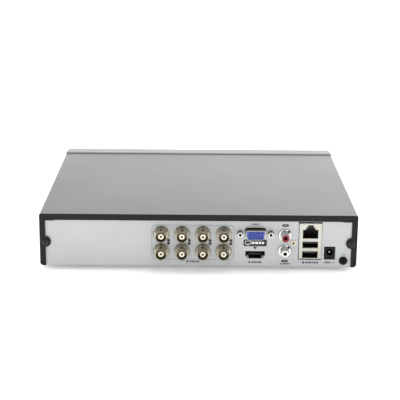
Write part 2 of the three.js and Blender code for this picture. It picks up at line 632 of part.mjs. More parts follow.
// ---------------------------------------------------------------- electronics
// The main board with its small soldered parts: an L shape, wider along the sockets than beside the drive.
function mainBoard() {
  const rear = fromRear(BOARD.rearGap);
  const [low, top] = [BOARD.top - BOARD.thickness, BOARD.top];
  const wide = block([across(BOARD.right), across(BOARD.left)], [rear - BOARD.neck, rear], [low, top]);
  const deep = block([across(BOARD.right), across(BOARD.neckRight)], [rear - BOARD.depth, rear], [low, top]);
  const part = (u, d, width, length, height) => block([across(u) - width / 2, across(u) + width / 2],
    [fromRear(d) - length / 2, fromRear(d) + length / 2], [top - 0.2, top + height]);
  const capacitors = [[214, 40], [228, 40], [238, 60]].map(([u, d]) =>
    post(across(u), fromRear(d), 4, [top - 0.2, top + 11], 16));
  const soldered = [
    part(126, 46, 9, 16, 8), // drive data socket
    part(142, 46, 10, 8, 9), // drive power header
    part(104, 40, 8, 6, 7), // fan header
    part(212, 120, 18, 6, 6), // front cable header
    part(130, 92, 12, 14, 1.2), part(130, 110, 12, 14, 1.2), // memory
    part(170, 28, 14, 14, 1.4), part(190, 28, 12, 12, 1.4), // video receivers
    part(224, 62, 12, 12, 5), // network transformer
    part(238, 78, 7, 7, 4), part(238, 90, 7, 7, 4), // coils
    post(across(200), fromRear(112), 6, [top - 0.2, top + 7], 16), // buzzer
  ];
  const holes = boardSupports().map(([x, y]) => post(x, y, 1.6, [0, 20], 12));
  return cut(join([wide, deep, ...capacitors, ...soldered]), holes);
}

function processor() {
  const half = PROCESSOR.size / 2;
  return block([-half, half], [-half, half], [0.05, 1.6]);
}

function heatsink() {
  const half = HEATSINK.size / 2;
  const base = block([-half, half], [-half, half], [1.7, 4.7]);
  const fins = Array.from({ length: HEATSINK.fins }, (_, i) => {
    const x = (i - (HEATSINK.fins - 1) / 2) * HEATSINK.finPitch;
    return block([x - 0.8, x + 0.8], [-half, half], [4.5, HEATSINK.height]);
  });
  return join([base, ...fins]);
}

function batteryHolder() {
  const { radius, holder } = BATTERY;
  const cup = post(0, 0, holder, [0.05, 5], 24).add(block([-holder - 2, holder + 2], [-4, 4], [0.05, 3]));
  return cup.subtract(post(0, 0, radius + 0.4, [1.2, 10], 24));
}

const coinCell = () => post(0, 0, BATTERY.radius, [1.4, 4.6], 24);

// ---------------------------------------------------------------- fan, drawn with its axis along z
function fanFrame() {
  const half = FAN.size / 2;
  const body = prismZ(roundedRectangle([-half, half], [-half, half], 3), [0, FAN.depth], 3);
  const through = [-1, FAN.depth + 1];
  const duct = post(0, 0, FAN.duct, through, 36);
  const hole = FAN.holePitch / 2;
  const corners = SIDES.flatMap((a) => SIDES.map((b) => post(a * hole, b * hole, 1.7, through, 10)));
  const seat = post(0, 0, 9.5, [FAN.depth - 1.5, FAN.depth], 20);
  const arms = [0, 1, 2].map((i) => block([-1.2, 1.2], [7, FAN.duct + 0.5], [FAN.depth - 1.5, FAN.depth])
    .rotate([0, 0, i * 120 + 45]));
  return join([cut(body, [duct, ...corners]), seat, ...arms]);
}

function fanRotor() {
  const hub = turnedUp([[0, 0.5], [8.4, 0.5], [9.2, 1.3], [9.2, FAN.depth - 1.9], [0, FAN.depth - 1.9]], 20);
  const blade = block([8, 17.8], [-0.5, 0.5], [-4.2, 4.2]).rotate([38, 0, 0]).translate([0, 0, 4.5]);
  const wheel = Array.from({ length: FAN.blades }, (_, i) => blade.rotate([0, 0, (i * 360) / FAN.blades]));
  return join([hub, ...wheel]).intersect(post(0, 0, 17.9, [0.6, FAN.depth - 2], 40));
}

// ---------------------------------------------------------------- hard drive
// Drawn from the drive's centre, with its underside at z = 0.

// Posts on the drive's four underside screw axes.
function driveScrewPosts(radius, z, segments) {
  return driveHoles().map(([x, y]) => post(x - driveCentre[0], y - driveCentre[1], radius, z, segments));
}

function driveCase() {
  const [w, l] = [DRIVE.width / 2, DRIVE.length / 2];
  const [floor, rim, wall] = [8, 24.4, 4];
  const body = block([-w, w], [-l, l], [0, rim]);
  const cavity = join([
    post(0, SPINDLE.y, PLATTER.radius + 1.4, [floor, 30], 48),
    block([-w + wall, w - wall], [0, l - 12], [floor, 30]),
  ]);
  const boardRecess = block([-w + wall, w - wall], [-8, l + 1], [-1, 2]);
  const cornerCuts = [[w - 6, w + 1], [-w - 1, -w + 6]].map((x) => block(x, [-l - 1, -l + 5], [17, 30]));
  const port = block([w - 50, w - 12], [l - 5, l + 1], [2, 6.5]);
  return cut(body, [cavity, boardRecess, port, ...cornerCuts, ...driveScrewPosts(1.5, [-1, 5], 10)]);
}

function driveCover() {
  const [w, l] = [DRIVE.width / 2, DRIVE.length / 2];
  return prismZ(roundedRectangle([-w + 1, w - 1], [-l + 6, l - 1], 4), [24.5, DRIVE.height], 3);
}

function driveBoard() {
  const [w, l] = [DRIVE.width / 2, DRIVE.length / 2];
  const board = block([-w + 5, w - 5], [-7, l - 0.5], [0.1, 1.5]);
  return cut(board, driveScrewPosts(5.6, [-1, 5], 12));
}

// Two recording discs clamped on one hub, turned about local z.
function drivePlatters() {
  const [low, high] = PLATTER.levels;
  const { radius, thickness, hub, clamp } = PLATTER;
  return turnedUp([
    [0, 8.6],
    [hub, 8.6],
    [hub, low],
    [radius, low],
    [radius, low + thickness],
    [hub, low + thickness],
    [hub, high],
    [radius, high],
    [radius, high + thickness],
    [clamp, high + thickness],
    [clamp, 20.5],
    [0, 20.5],
  ], 30);
}

// The arm that carries the heads between the discs, drawn about its pivot and turned to where it parks.
function driveHeadArm() {
  const level = [PLATTER.levels[0] + 2.2, PLATTER.levels[0] + 4.1];
  const arm = prismZ(shapeOf([[-6, -3], [6, -3], [2.2, -36], [1.4, -46], [-1.4, -46], [-2.2, -36]]), level);
  const coil = prismZ(shapeOf([[-4, 2], [4, 2], [9, 18], [5, 21], [-5, 21], [-9, 18]]), [12.5, 16.5]);
  return join([arm, coil, post(0, 0, 7, [8.6, 20.5], 20)]).rotate([0, 0, ARM_PARKED]);
}

// ---------------------------------------------------------------- cables
function sataCable() {
  const z = BOARD.top + 4.5;
  const ribbon = swept(roundedRectangle([-0.8, 0.8], [-4, 4], 0.5), [
    [88, fromRear(45), z + 2],
    [84, fromRear(35), z + 2],
    [66, fromRear(28), z + 4],
    [44, fromRear(26), z + 6],
    [24, fromRear(27), z + 6],
    [9, fromRear(29), z + 6],
    [4, fromRear(33), z + 4],
    [4, fromRear(36), z + 2],
  ], 20);
  const drivePlug = block([83, 93], [fromRear(55.9), fromRear(43)], [z - 1, z + 5]);
  const boardPlug = block([-1, 9], [fromRear(37.7), fromRear(32)], [z - 2, z + 5]);
  return join([ribbon, drivePlug, boardPlug]);
}

function drivePowerCable() {
  const z = BOARD.top + 3;
  const bundle = swept(wireSection(2), [
    [62, fromRear(50), z + 4],
    [60, fromRear(41), z + 6],
    [48, fromRear(36), z + 12],
    [28, fromRear(37), z + 18],
    [8, fromRear(40), z + 20],
    [-8, fromRear(44), z + 18],
    [-12, fromRear(46), z + 13],
    [-12, fromRear(46), z + 7.4],
  ], 20);
  const plug = block([50, 74], [fromRear(55.9), fromRear(46)], [z, z + 6]);
  const header = block([-16.5, -7.5], [fromRear(49.5), fromRear(42.5)], [BOARD.top + 9.3, BOARD.top + 15]);
  return join([bundle, plug, header]);
}

function fanLead() {
  const z = BOARD.top;
  const lead = swept(wireSection(1.1), [
    [115.2, fromRear(47), z + 24],
    [108, fromRear(47.5), z + 22],
    [92, fromRear(40), z + 16],
    [64, fromRear(22), z + 16],
    [40, fromRear(22), z + 20],
    [30, fromRear(34), z + 18],
    [26, fromRear(40), z + 12],
    [26, fromRear(40), z + 9],
  ], 22);
  const header = block([22.5, 29.5], [fromRear(42.5), fromRear(37.5)], [z + 7.3, z + 11]);
  return join([lead, header]);
}

function frontCable() {
  const z = 15; // the level of the header on the front board
  const ribbon = swept(roundedRectangle([-6, 6], [-0.5, 0.5], 0.3), [
    [-82, fromRear(123), z + 4],
    [-80, fromRear(140), z + 8],
    [-76, fromRear(165), z + 6],
    [-74, fromRear(190), z + 2],
    [-74, fromRear(203), z],
  ], 12);
  const boardPlug = block([-90, -74], [fromRear(123), fromRear(117.5)], [BOARD.top + 6.3, BOARD.top + 15]);
  const frontPlug = block([-81, -67], [fromRear(206.9), fromRear(201)], [z - 2.5, z + 2.5]);
  return join([ribbon, boardPlug, frontPlug]);
}

// ---------------------------------------------------------------- assembly
const recorder = new THREE.Group();
const caseGroup = new THREE.Group(); // z counted from the case's underside
caseGroup.position.z = FOOT.height;
recorder.add(caseGroup);

const sockets = new THREE.Group(); // y counted from the rear panel's outer face
sockets.position.y = PANEL;
caseGroup.add(sockets);

function place(parent, name, body, material, position = [0, 0, 0]) {
  const mesh = new THREE.Mesh(geometryOf(body), material);
  mesh.name = name;
  mesh.position.set(...position);
  parent.add(mesh);
  return mesh;
}

place(caseGroup, 'chassis_tray', chassisTray(), MATERIAL.tray);
place(caseGroup, 'top_cover', topCover(), MATERIAL.cover);
place(caseGroup, 'front_fascia', frontFascia(), MATERIAL.fascia);
place(caseGroup, 'fascia_window', fasciaWindow(), MATERIAL.window);
place(caseGroup, 'led_light_guide', lightGuide(), MATERIAL.lens);
place(caseGroup, 'front_board', frontBoard(), MATERIAL.board);
place(caseGroup, 'front_usb_port', frontUsbPort(), MATERIAL.tin);

for (const [name, sideX, sideY] of [
  ['front_left', -1, -1], ['front_right', 1, -1], ['rear_left', -1, 1], ['rear_right', 1, 1],
]) {
  const x = sideX * (CASE.width / 2 - FOOT.inset);
  const y = sideY > 0 ? REAR - FOOT.inset : FRONT + FOOT.inset + FASCIA.depth / 2;
  place(recorder, `foot_${name}`, foot(), MATERIAL.rubber, [x, y, 0]);
}

for (const [name, side] of [['left', 1], ['right', -1]]) {
  place(sockets, `cover_screw_${name}`, panScrew(2.9, 1.5, 1.5, 6), MATERIAL.blackSteel,
    [side * (CASE.width / 2 - TAB.inset), REAR - PANEL + 0.05, TAB.height]);
}

for (let column = 0; column < VIDEO.columns; column += 1) {
  const x = across(VIDEO.across + column * VIDEO.pitch);
  place(sockets, `bnc_pair_${column + 1}`, videoPair(), MATERIAL.nickel, [x, 0, 0]);
  VIDEO.up.forEach((up, row) => {
    place(sockets, `bnc_insulator_${column * 2 + row + 1}`, videoInsulator(), MATERIAL.insulator, [x, 0, up]);
  });
}

const vgaAt = [across(VGA.across), 0, VGA.up];
place(sockets, 'vga_shell', vgaShell(), MATERIAL.brightNickel, vgaAt);
place(sockets, 'vga_insert', vgaInsert(), MATERIAL.blue, vgaAt);
for (const [name, side] of [['left', 1], ['right', -1]]) {
  place(sockets, `vga_jackscrew_${name}`, jackscrew(), MATERIAL.brightNickel,
    [across(VGA.across) + (side * VGA.screwPitch) / 2, 0, VGA.up]);
}

const hdmiAt = [across(HDMI.across), 0, HDMI.up];
place(sockets, 'hdmi_shell', hdmiShell(), MATERIAL.brightNickel, hdmiAt);
place(sockets, 'hdmi_tongue', hdmiTongue(), MATERIAL.blackPlastic, hdmiAt);

const audioX = across(AUDIO.across);
place(sockets, 'audio_housing', audioHousing(), MATERIAL.blackPlastic, [audioX, 0, 0]);
[['audio_out', MATERIAL.white], ['audio_in', MATERIAL.red]].forEach(([name, colour], row) => {
  place(sockets, `${name}_shell`, audioShell(), MATERIAL.brightNickel, [audioX, 0, AUDIO.up[row]]);
  place(sockets, `${name}_insulator`, audioInsulator(), colour, [audioX, 0, AUDIO.up[row]]);
});
place(sockets, 'audio_screw', panScrew(2.4, 1.5, 1.3, 5), MATERIAL.nickel,
  [across(AUDIO_SCREW.across), 0.05, AUDIO_SCREW.up]);

place(sockets, 'lan_usb_shield', comboShield(), MATERIAL.tin);
place(sockets, 'lan_usb_core', comboCore(), MATERIAL.blackPlastic);
place(sockets, 'power_jack', powerJack(), MATERIAL.blackPlastic);
place(sockets, 'power_pin', powerPin(), MATERIAL.brightNickel, [across(POWER.across), 0, POWER.pinUp]);
const groundX = across(GROUND.across);
place(sockets, 'ground_washer', groundWasher(), MATERIAL.blackSteel, [groundX, 0, GROUND.up]);
place(sockets, 'ground_screw', panScrew(2.8, 1.9, 1.5, 4), MATERIAL.blackSteel, [groundX, 1, GROUND.up]);

place(caseGroup, 'main_board', mainBoard(), MATERIAL.board);
const onBoard = (u, d) => [across(u), fromRear(d), BOARD.top];
place(caseGroup, 'processor', processor(), MATERIAL.blackPlastic, onBoard(PROCESSOR.u, PROCESSOR.d));
place(caseGroup, 'heatsink', heatsink(), MATERIAL.aluminium, onBoard(PROCESSOR.u, PROCESSOR.d));
place(caseGroup, 'battery_holder', batteryHolder(), MATERIAL.blackPlastic, onBoard(BATTERY.u, BATTERY.d));
place(caseGroup, 'coin_cell', coinCell(), MATERIAL.brightNickel, onBoard(BATTERY.u, BATTERY.d));

const fan = new THREE.Group(); // local z runs inwards from the side wall
fan.position.set(CASE.width / 2 - 2 * SHEET - TRAY.sideGap - GAP, fromRear(FAN.centre), FAN.up);
fan.rotation.y = -Math.PI / 2;
caseGroup.add(fan);
place(fan, 'fan_frame', fanFrame(), MATERIAL.blackPlastic);
place(fan, 'fan_rotor', fanRotor(), MATERIAL.blackPlastic);

const drive = new THREE.Group();
drive.position.set(...driveCentre, DRIVE.up);
caseGroup.add(drive);
place(drive, 'drive_case', driveCase(), MATERIAL.aluminium);
place(drive, 'drive_cover', driveCover(), MATERIAL.brightNickel);
place(drive, 'drive_board', driveBoard(), MATERIAL.board);
place(drive, 'drive_platters', drivePlatters(), MATERIAL.brightNickel, [0, SPINDLE.y, 0]);
place(drive, 'drive_head_arm', driveHeadArm(), MATERIAL.aluminium, [PIVOT.x, PIVOT.y, 0]);

place(caseGroup, 'sata_cable', sataCable(), MATERIAL.cable);
place(caseGroup, 'drive_power_cable', drivePowerCable(), MATERIAL.wire);
place(caseGroup, 'fan_lead', fanLead(), MATERIAL.wire);
place(caseGroup, 'front_cable', frontCable(), MATERIAL.wire);

export default recorder;
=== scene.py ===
"""The looks of a compact eight-channel video recorder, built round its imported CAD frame.

Shapes are drawn in millimetres in the row frame (+Z up, sockets towards +Y) and scaled to metres when a
piece is made.
"""
import math
import random

import bmesh
import bpy
from mathutils import Matrix, Vector


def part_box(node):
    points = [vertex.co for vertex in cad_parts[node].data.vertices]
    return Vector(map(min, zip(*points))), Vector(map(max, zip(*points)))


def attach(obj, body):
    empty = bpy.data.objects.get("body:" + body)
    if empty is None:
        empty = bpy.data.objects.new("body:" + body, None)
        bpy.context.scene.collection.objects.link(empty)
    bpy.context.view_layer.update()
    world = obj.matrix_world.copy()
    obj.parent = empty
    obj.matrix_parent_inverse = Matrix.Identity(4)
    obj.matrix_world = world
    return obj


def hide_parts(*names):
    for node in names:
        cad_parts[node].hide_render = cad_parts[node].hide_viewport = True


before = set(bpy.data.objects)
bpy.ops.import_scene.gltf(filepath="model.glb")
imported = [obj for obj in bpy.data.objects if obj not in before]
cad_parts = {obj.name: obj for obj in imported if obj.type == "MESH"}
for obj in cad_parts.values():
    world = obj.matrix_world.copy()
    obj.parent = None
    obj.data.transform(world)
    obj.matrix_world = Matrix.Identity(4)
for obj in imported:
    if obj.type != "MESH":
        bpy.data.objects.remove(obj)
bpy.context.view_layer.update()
scene = bpy.context.scene
MM = 0.001


# ------------------------------------------------------------------ places read from the CAD frame, in mm
def box_mm(node):
    low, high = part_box(node)
    return low / MM, high / MM


def centre_mm(node):
    low, high = box_mm(node)
    return (low + high) / 2


PANEL = box_mm("chassis_tray")[1].y  # outer face of the socket panel
REAR = box_mm("top_cover")[1].y  # rear face of the cover
BASE = box_mm("chassis_tray")[0].z  # underside of the case
TIP = box_mm("bnc_pair_1")[1].y  # how far the video sockets reach
HALF_WIDTH = box_mm("top_cover")[1].x
BOARD = box_mm("processor")[0].z - 0.05  # top of the main board


def across(u):
    """x of a point u mm from the left edge, seen from behind."""
    return HALF_WIDTH - u


def up(z):
    """Height of a point z mm above the underside of the case."""
    return BASE + z


# ------------------------------------------------------------------ materials
def srgb(r, g, b):
    """A colour given in 0-255 display values, as linear light."""
    def linear(v):
        v /= 255
        return v / 12.92 if v <= 0.04045 else ((v + 0.055) / 1.055) ** 2.4
    return (linear(r), linear(g), linear(b), 1)


class Finish:
    """A procedural material: a Principled shader whose inputs are fed by noise in object space."""

    def __init__(self, name, colour, roughness, metallic=0.0, **inputs):
        self.material = bpy.data.materials.new(name)
        self.material.use_nodes = True
        self.nodes = self.material.node_tree.nodes
        self.links = self.material.node_tree.links
        self.shader = self.nodes["Principled BSDF"]
        self.shader.inputs["Base Color"].default_value = colour
        self.shader.inputs["Roughness"].default_value = roughness
        self.shader.inputs["Metallic"].default_value = metallic
        for key, value in inputs.items():
            self.shader.inputs[key.replace("_", " ")].default_value = value
        self.colour = colour
        self.roughness = roughness
        self.coordinates = self.nodes.new("ShaderNodeTexCoord").outputs["Object"]
        self.normal = None

    def noise(self, size_mm, detail=3.0, stretch=(1, 1, 1)):
        """Noise whose features are about size_mm across, stretched along the axes given."""
        mapping = self.nodes.new("ShaderNodeMapping")
        mapping.inputs["Scale"].default_value = tuple(1 / s for s in stretch)
        self.links.new(self.coordinates, mapping.inputs["Vector"])
        noise = self.nodes.new("ShaderNodeTexNoise")
        noise.inputs["Scale"].default_value = 1000 / size_mm
        noise.inputs["Detail"].default_value = detail
        self.links.new(mapping.outputs["Vector"], noise.inputs["Vector"])
        return noise.outputs["Fac"]

    def ramp(self, value, low, high):
        """Maps 0-1 noise to the range low-high."""
        node = self.nodes.new("ShaderNodeMapRange")
        node.inputs["From Min"].default_value = 0.3
        node.inputs["From Max"].default_value = 0.7
        node.inputs["To Min"].default_value = low
        node.inputs["To Max"].default_value = high
        self.links.new(value, node.inputs["Value"])
        return node.outputs["Result"]

    def mix_colour(self, factor, a, b):
        node = self.nodes.new("ShaderNodeMix")
        node.data_type = "RGBA"
        for key, value in (("Factor", factor), ("A", a), ("B", b)):
            socket = [s for s in node.inputs if s.name == key and s.enabled][0]
            if hasattr(value, "is_output"):
                self.links.new(value, socket)
            else:
                socket.default_value = value
        return [s for s in node.outputs if s.enabled][0]

    def vary_colour(self, size_mm, amount, stretch=(1, 1, 1)):
        """Patches a little darker and lighter than the base colour."""
        darker = tuple(c * (1 - amount) for c in self.colour[:3]) + (1,)
        lighter = tuple(min(1, c * (1 + amount)) for c in self.colour[:3]) + (1,)
        factor = self.ramp(self.noise(size_mm, 4, stretch), 0, 1)
        self.feed_colour(self.mix_colour(factor, darker, lighter))
        return self

    def feed_colour(self, output):
        self.links.new(output, self.shader.inputs["Base Color"])
        self.last_colour = output
        return self

    def vary_roughness(self, size_mm, spread, stretch=(1, 1, 1)):
        low, high = self.roughness - spread, self.roughness + spread
        value = self.ramp(self.noise(size_mm, 4, stretch), low, high)
        self.links.new(value, self.shader.inputs["Roughness"])
        return self

    def bump(self, size_mm, height_mm, stretch=(1, 1, 1), detail=3.0):
        node = self.nodes.new("ShaderNodeBump")
        node.inputs["Strength"].default_value = 1
        node.inputs["Distance"].default_value = height_mm * MM
        self.links.new(self.noise(size_mm, detail, stretch), node.inputs["Height"])
        if self.normal is not None:
            self.links.new(self.normal, node.inputs["Normal"])
        self.normal = node.outputs["Normal"]
        self.links.new(self.normal, self.shader.inputs["Normal"])
        return self

    def lighten_edges(self, radius_mm, colour, strength):
        """Lightens the colour where the surface turns sharply."""
        bevel = self.nodes.new("ShaderNodeBevel")
        bevel.samples = 4
        bevel.inputs["Radius"].default_value = radius_mm * MM
        flat = self.nodes.new("ShaderNodeNewGeometry").outputs["Normal"]
        dot = self.nodes.new("ShaderNodeVectorMath")
        dot.operation = "DOT_PRODUCT"
        self.links.new(bevel.outputs["Normal"], dot.inputs[0])
        self.links.new(flat, dot.inputs[1])
        edge = self.nodes.new("ShaderNodeMapRange")
        edge.inputs["From Min"].default_value = 0.98
        edge.inputs["From Max"].default_value = 0.75
        edge.inputs["To Max"].default_value = strength
        self.links.new(dot.outputs["Value"], edge.inputs["Value"])
        base = getattr(self, "last_colour", self.colour)
        return self.feed_colour(self.mix_colour(edge.outputs["Result"], base, colour))


def painted(name, colour, roughness, peel_mm=0.6, height_mm=0.012, metallic=0.0, **inputs):
    """Sprayed paint: orange peel, faint cloudiness and slightly lighter edges."""
    finish = Finish(name, colour, roughness, metallic, **inputs)
    finish.vary_colour(40, 0.03).vary_roughness(60, 0.012)
    finish.bump(peel_mm, height_mm)
    lighter = tuple(min(1, c * 1.3 + 0.004) for c in colour[:3]) + (1,)
    return finish.lighten_edges(0.2, lighter, 0.3).material


def plated(name, colour, roughness, metallic=1.0):
    """Nickel or tin plate: soft stains and fine handling marks."""
    finish = Finish(name, colour, roughness, metallic)
    finish.vary_colour(6, 0.07).vary_roughness(3, 0.05)
    return finish.bump(2.5, 0.004, detail=1).material


def moulded(name, colour, roughness, grain_mm=0.35, height_mm=0.01, **inputs):
    """Moulded plastic with a fine spark-eroded grain."""
    finish = Finish(name, colour, roughness, **inputs)
    finish.vary_colour(9, 0.05).vary_roughness(5, 0.04)
    return finish.bump(grain_mm, height_mm).material


def printed(name, colour):
    """Screen-printed ink: uneven cover over the paint below."""
    finish = Finish(name, colour, 0.5)
    return finish.vary_colour(0.8, 0.12).bump(0.4, 0.004).material


def circuit_finish(name):
    """Green solder mask with copper tracks showing as lighter lines and a scatter of small vias."""
    finish = Finish(name, srgb(20, 84, 52), 0.35)
    tracks = finish.nodes.new("ShaderNodeTexBrick")
    tracks.offset = 0.5
    for key, value in (("Scale", 420), ("Mortar Size", 0.09), ("Brick Width", 2.6), ("Row Height", 0.32)):
        tracks.inputs[key].default_value = value
    tracks.inputs["Color1"].default_value = srgb(18, 78, 48)
    tracks.inputs["Color2"].default_value = srgb(22, 92, 56)
    tracks.inputs["Mortar"].default_value = srgb(44, 124, 76)
    finish.links.new(finish.coordinates, tracks.inputs["Vector"])
    vias = finish.nodes.new("ShaderNodeTexVoronoi")
    vias.inputs["Scale"].default_value = 300
    finish.links.new(finish.coordinates, vias.inputs["Vector"])
    ring = finish.nodes.new("ShaderNodeMapRange")
    ring.inputs["From Min"].default_value = 0.16
    ring.inputs["From Max"].default_value = 0.1
    finish.links.new(vias.outputs["Distance"], ring.inputs["Value"])
    colour = finish.mix_colour(ring.outputs["Result"], tracks.outputs["Color"], srgb(176, 168, 120))
    finish.feed_colour(colour)
    return finish.bump(0.8, 0.01).material


def brushed(name, colour, roughness, along):
    """Turned or rolled metal with fine lines along one axis."""
    stretch = tuple(60 if axis == along else 1 for axis in "xyz")
    finish = Finish(name, colour, roughness, 1.0)
    finish.vary_colour(0.9, 0.05, stretch).vary_roughness(0.9, 0.05, stretch)
    return finish.bump(0.9, 0.001, stretch, 1).material


M = {
    "panel": painted("panel_silver", srgb(180, 182, 183), 0.42, 0.5, 0.008, 0.15),
    "cover": painted("cover_black", srgb(9, 10, 10), 0.3, 0.7, 0.004, IOR=1.3),
    "fascia": painted("fascia_pale", srgb(137, 136, 134), 0.6, 1.2, 0.004, Specular_IOR_Level=0.15),
    "window": moulded("window_gloss", srgb(8, 8, 10), 0.07, 4, 0.002),
    "lens": moulded("lens_clear", srgb(150, 190, 200), 0.12, 2, 0.002),
    "rubber": moulded("foot_rubber", srgb(34, 34, 35), 0.8, 0.5, 0.03),
    "nickel": plated("die_cast_nickel", srgb(186, 181, 164), 0.26),
    # a darker copy of the nickel: painted shade, for metal that sits in shade in and round the sockets
    "nickel_dark": plated("shaded_nickel", srgb(84, 80, 58), 0.5),
    # a darker, rougher copy of the nickel for the video sockets' stepped base: painted shade
    "nickel_base_shade": plated("base_nickel_shaded", srgb(169, 165, 149), 0.42),
    "bore": plated("bore_shade", srgb(120, 112, 84), 0.45, 0.6),
    "brown": moulded("contact_shade", srgb(70, 56, 36), 0.5),
    "bright": plated("bright_nickel", srgb(216, 216, 214), 0.2),
    "tin": plated("tinned_can", srgb(182, 180, 171), 0.36),
    "thread": plated("thread_shade", srgb(138, 131, 108), 0.4),
    "hexagon": plated("hexagon_shade", srgb(150, 148, 140), 0.36),
    "gold": plated("contact_gold", srgb(214, 176, 98), 0.25),
    "brass_screw": plated("passivated_screw", srgb(228, 222, 196), 0.32, 0.5),
    "black_steel": painted("black_screw", srgb(34, 35, 36), 0.38, 0.4, 0.006, 0.3),
    "cream": moulded("cream_insulator", srgb(240, 232, 212), 0.42),
    "blue": moulded("socket_blue", srgb(60, 80, 168), 0.42),
    "red": moulded("insulator_red", srgb(150, 34, 50), 0.36),
    "white": moulded("insulator_white", srgb(244, 244, 242), 0.36),
    "black": moulded("black_plastic", srgb(26, 27, 28), 0.45),
    "jack": moulded("jack_black", srgb(13, 14, 16), 0.5, IOR=1.3),
    # near black put inside holes, bores and recesses: painted shade
    "hole": moulded("hole_shade_black", srgb(10, 10, 10), 0.6),
    "tongue": moulded("tongue_grey", srgb(48, 49, 50), 0.5),
    "ink": printed("ink_black", srgb(24, 25, 26)),
    "ink_grey": printed("ink_blue_grey", srgb(134, 140, 156)),
    "ink_dim": printed("ink_faded", srgb(84, 88, 94)),
    "ink_white": printed("ink_white", srgb(232, 234, 236)),
    "board": circuit_finish("circuit_board"),
    "chip": moulded("chip_epoxy", srgb(30, 31, 33), 0.5, 0.25, 0.008),
    "aluminium": brushed("heatsink_aluminium", srgb(160, 163, 166), 0.4, "y"),
    "cast": painted("cast_aluminium", srgb(178, 180, 182), 0.45, 0.9, 0.03, 0.8),
    "drive_lid": brushed("drive_lid_steel", srgb(150, 152, 154), 0.42, "y"),
    "mirror": plated("disc_mirror", srgb(214, 216, 220), 0.06),
    "cable_red": moulded("cable_red", srgb(168, 34, 34), 0.4, 1.2, 0.01),
    "cable_black": moulded("cable_black", srgb(28, 28, 30), 0.45, 1.2, 0.01),
    "cable_yellow": moulded("cable_yellow", srgb(214, 176, 40), 0.42, 1.2, 0.01),
    "cable_grey": moulded("cable_grey", srgb(150, 152, 156), 0.45, 1.2, 0.01),
    "paper": printed("label_paper", srgb(184, 184, 180)),
    "sleeve": moulded("capacitor_sleeve", srgb(30, 36, 66), 0.4),
    "ceramic": moulded("ceramic_tan", srgb(172, 142, 104), 0.5),
    "copper": plated("copper_winding", srgb(190, 112, 72), 0.3),
}


# ------------------------------------------------------------------ outlines: lists of (across, up) points
def arc(cx, cy, radius, start, end, steps):
    turns = [math.radians(start + (end - start) * i / steps) for i in range(steps + 1)]
    return [(cx + radius * math.cos(turn), cy + radius * math.sin(turn)) for turn in turns]


def rounded(width, height, radius, steps=6, cx=0, cy=0):
    """A rectangle with round corners, centred on (cx, cy)."""
    w, h = width / 2 - radius, height / 2 - radius
    corners = ((w, h, 0), (-w, h, 90), (-w, -h, 180), (w, -h, 270))
    return [p for x, y, a in corners for p in arc(cx + x, cy + y, radius, a, a + 90, steps)]


def soften(corners, radius, steps=5):
    """A polygon whose corners are rounded by short curves."""
    out = []
    for i, corner in enumerate(corners):
        here = Vector(corner)
        before = here + (Vector(corners[i - 1]) - here).normalized() * radius
        after = here + (Vector(corners[(i + 1) % len(corners)]) - here).normalized() * radius
        for k in range(steps + 1):
            t = k / steps
            out.append(tuple(before * (1 - t) ** 2 + here * 2 * t * (1 - t) + after * t * t))
    return out


def circle(radius, cx=0, cy=0, steps=32):
    return arc(cx, cy, radius, 0, 360 * (1 - 1 / steps), steps - 1)


def d_shape(width, height, radius):
    """The mouth of a monitor socket, its sides leaning in towards the bottom."""
    foot = width / 2 - height * 0.18
    top, low = height / 2, -height / 2
    return soften([(-width / 2, top), (-foot, low), (foot, low), (width / 2, top)], radius)


def digital_shape(width, height, radius=0.5):
    """The mouth of a digital video socket, its lower corners cut off."""
    w, h = width / 2, height / 2
    points = [(-w, h), (-w, -h * 0.2), (-w * 0.68, -h), (w * 0.68, -h), (w, -h * 0.2), (w, h)]
    return soften(points, radius, 3)


def shifted(points, dx, dy):
    return [(x + dx, y + dy) for x, y in points]


def disc(radius, low, high):
    """The profile of a plain round bar, for turning."""
    return [(0, low), (radius, low), (radius, high), (0, high)]


# ------------------------------------------------------------------ mesh building
# Axis matrices: a drawing's (across, up, out) turned so that "out" runs along the axis named.
AXES = {
    "+Y": Matrix(((1, 0, 0), (0, 0, 1), (0, 1, 0))).to_4x4(),
    "-Y": Matrix(((-1, 0, 0), (0, 0, -1), (0, 1, 0))).to_4x4(),
    "+Z": Matrix.Identity(4),
    "-Z": Matrix(((1, 0, 0), (0, -1, 0), (0, 0, -1))).to_4x4(),
    "+X": Matrix(((0, 0, 1), (1, 0, 0), (0, 1, 0))).to_4x4(),
    "-X": Matrix(((0, 0, -1), (-1, 0, 0), (0, 1, 0))).to_4x4(),
}


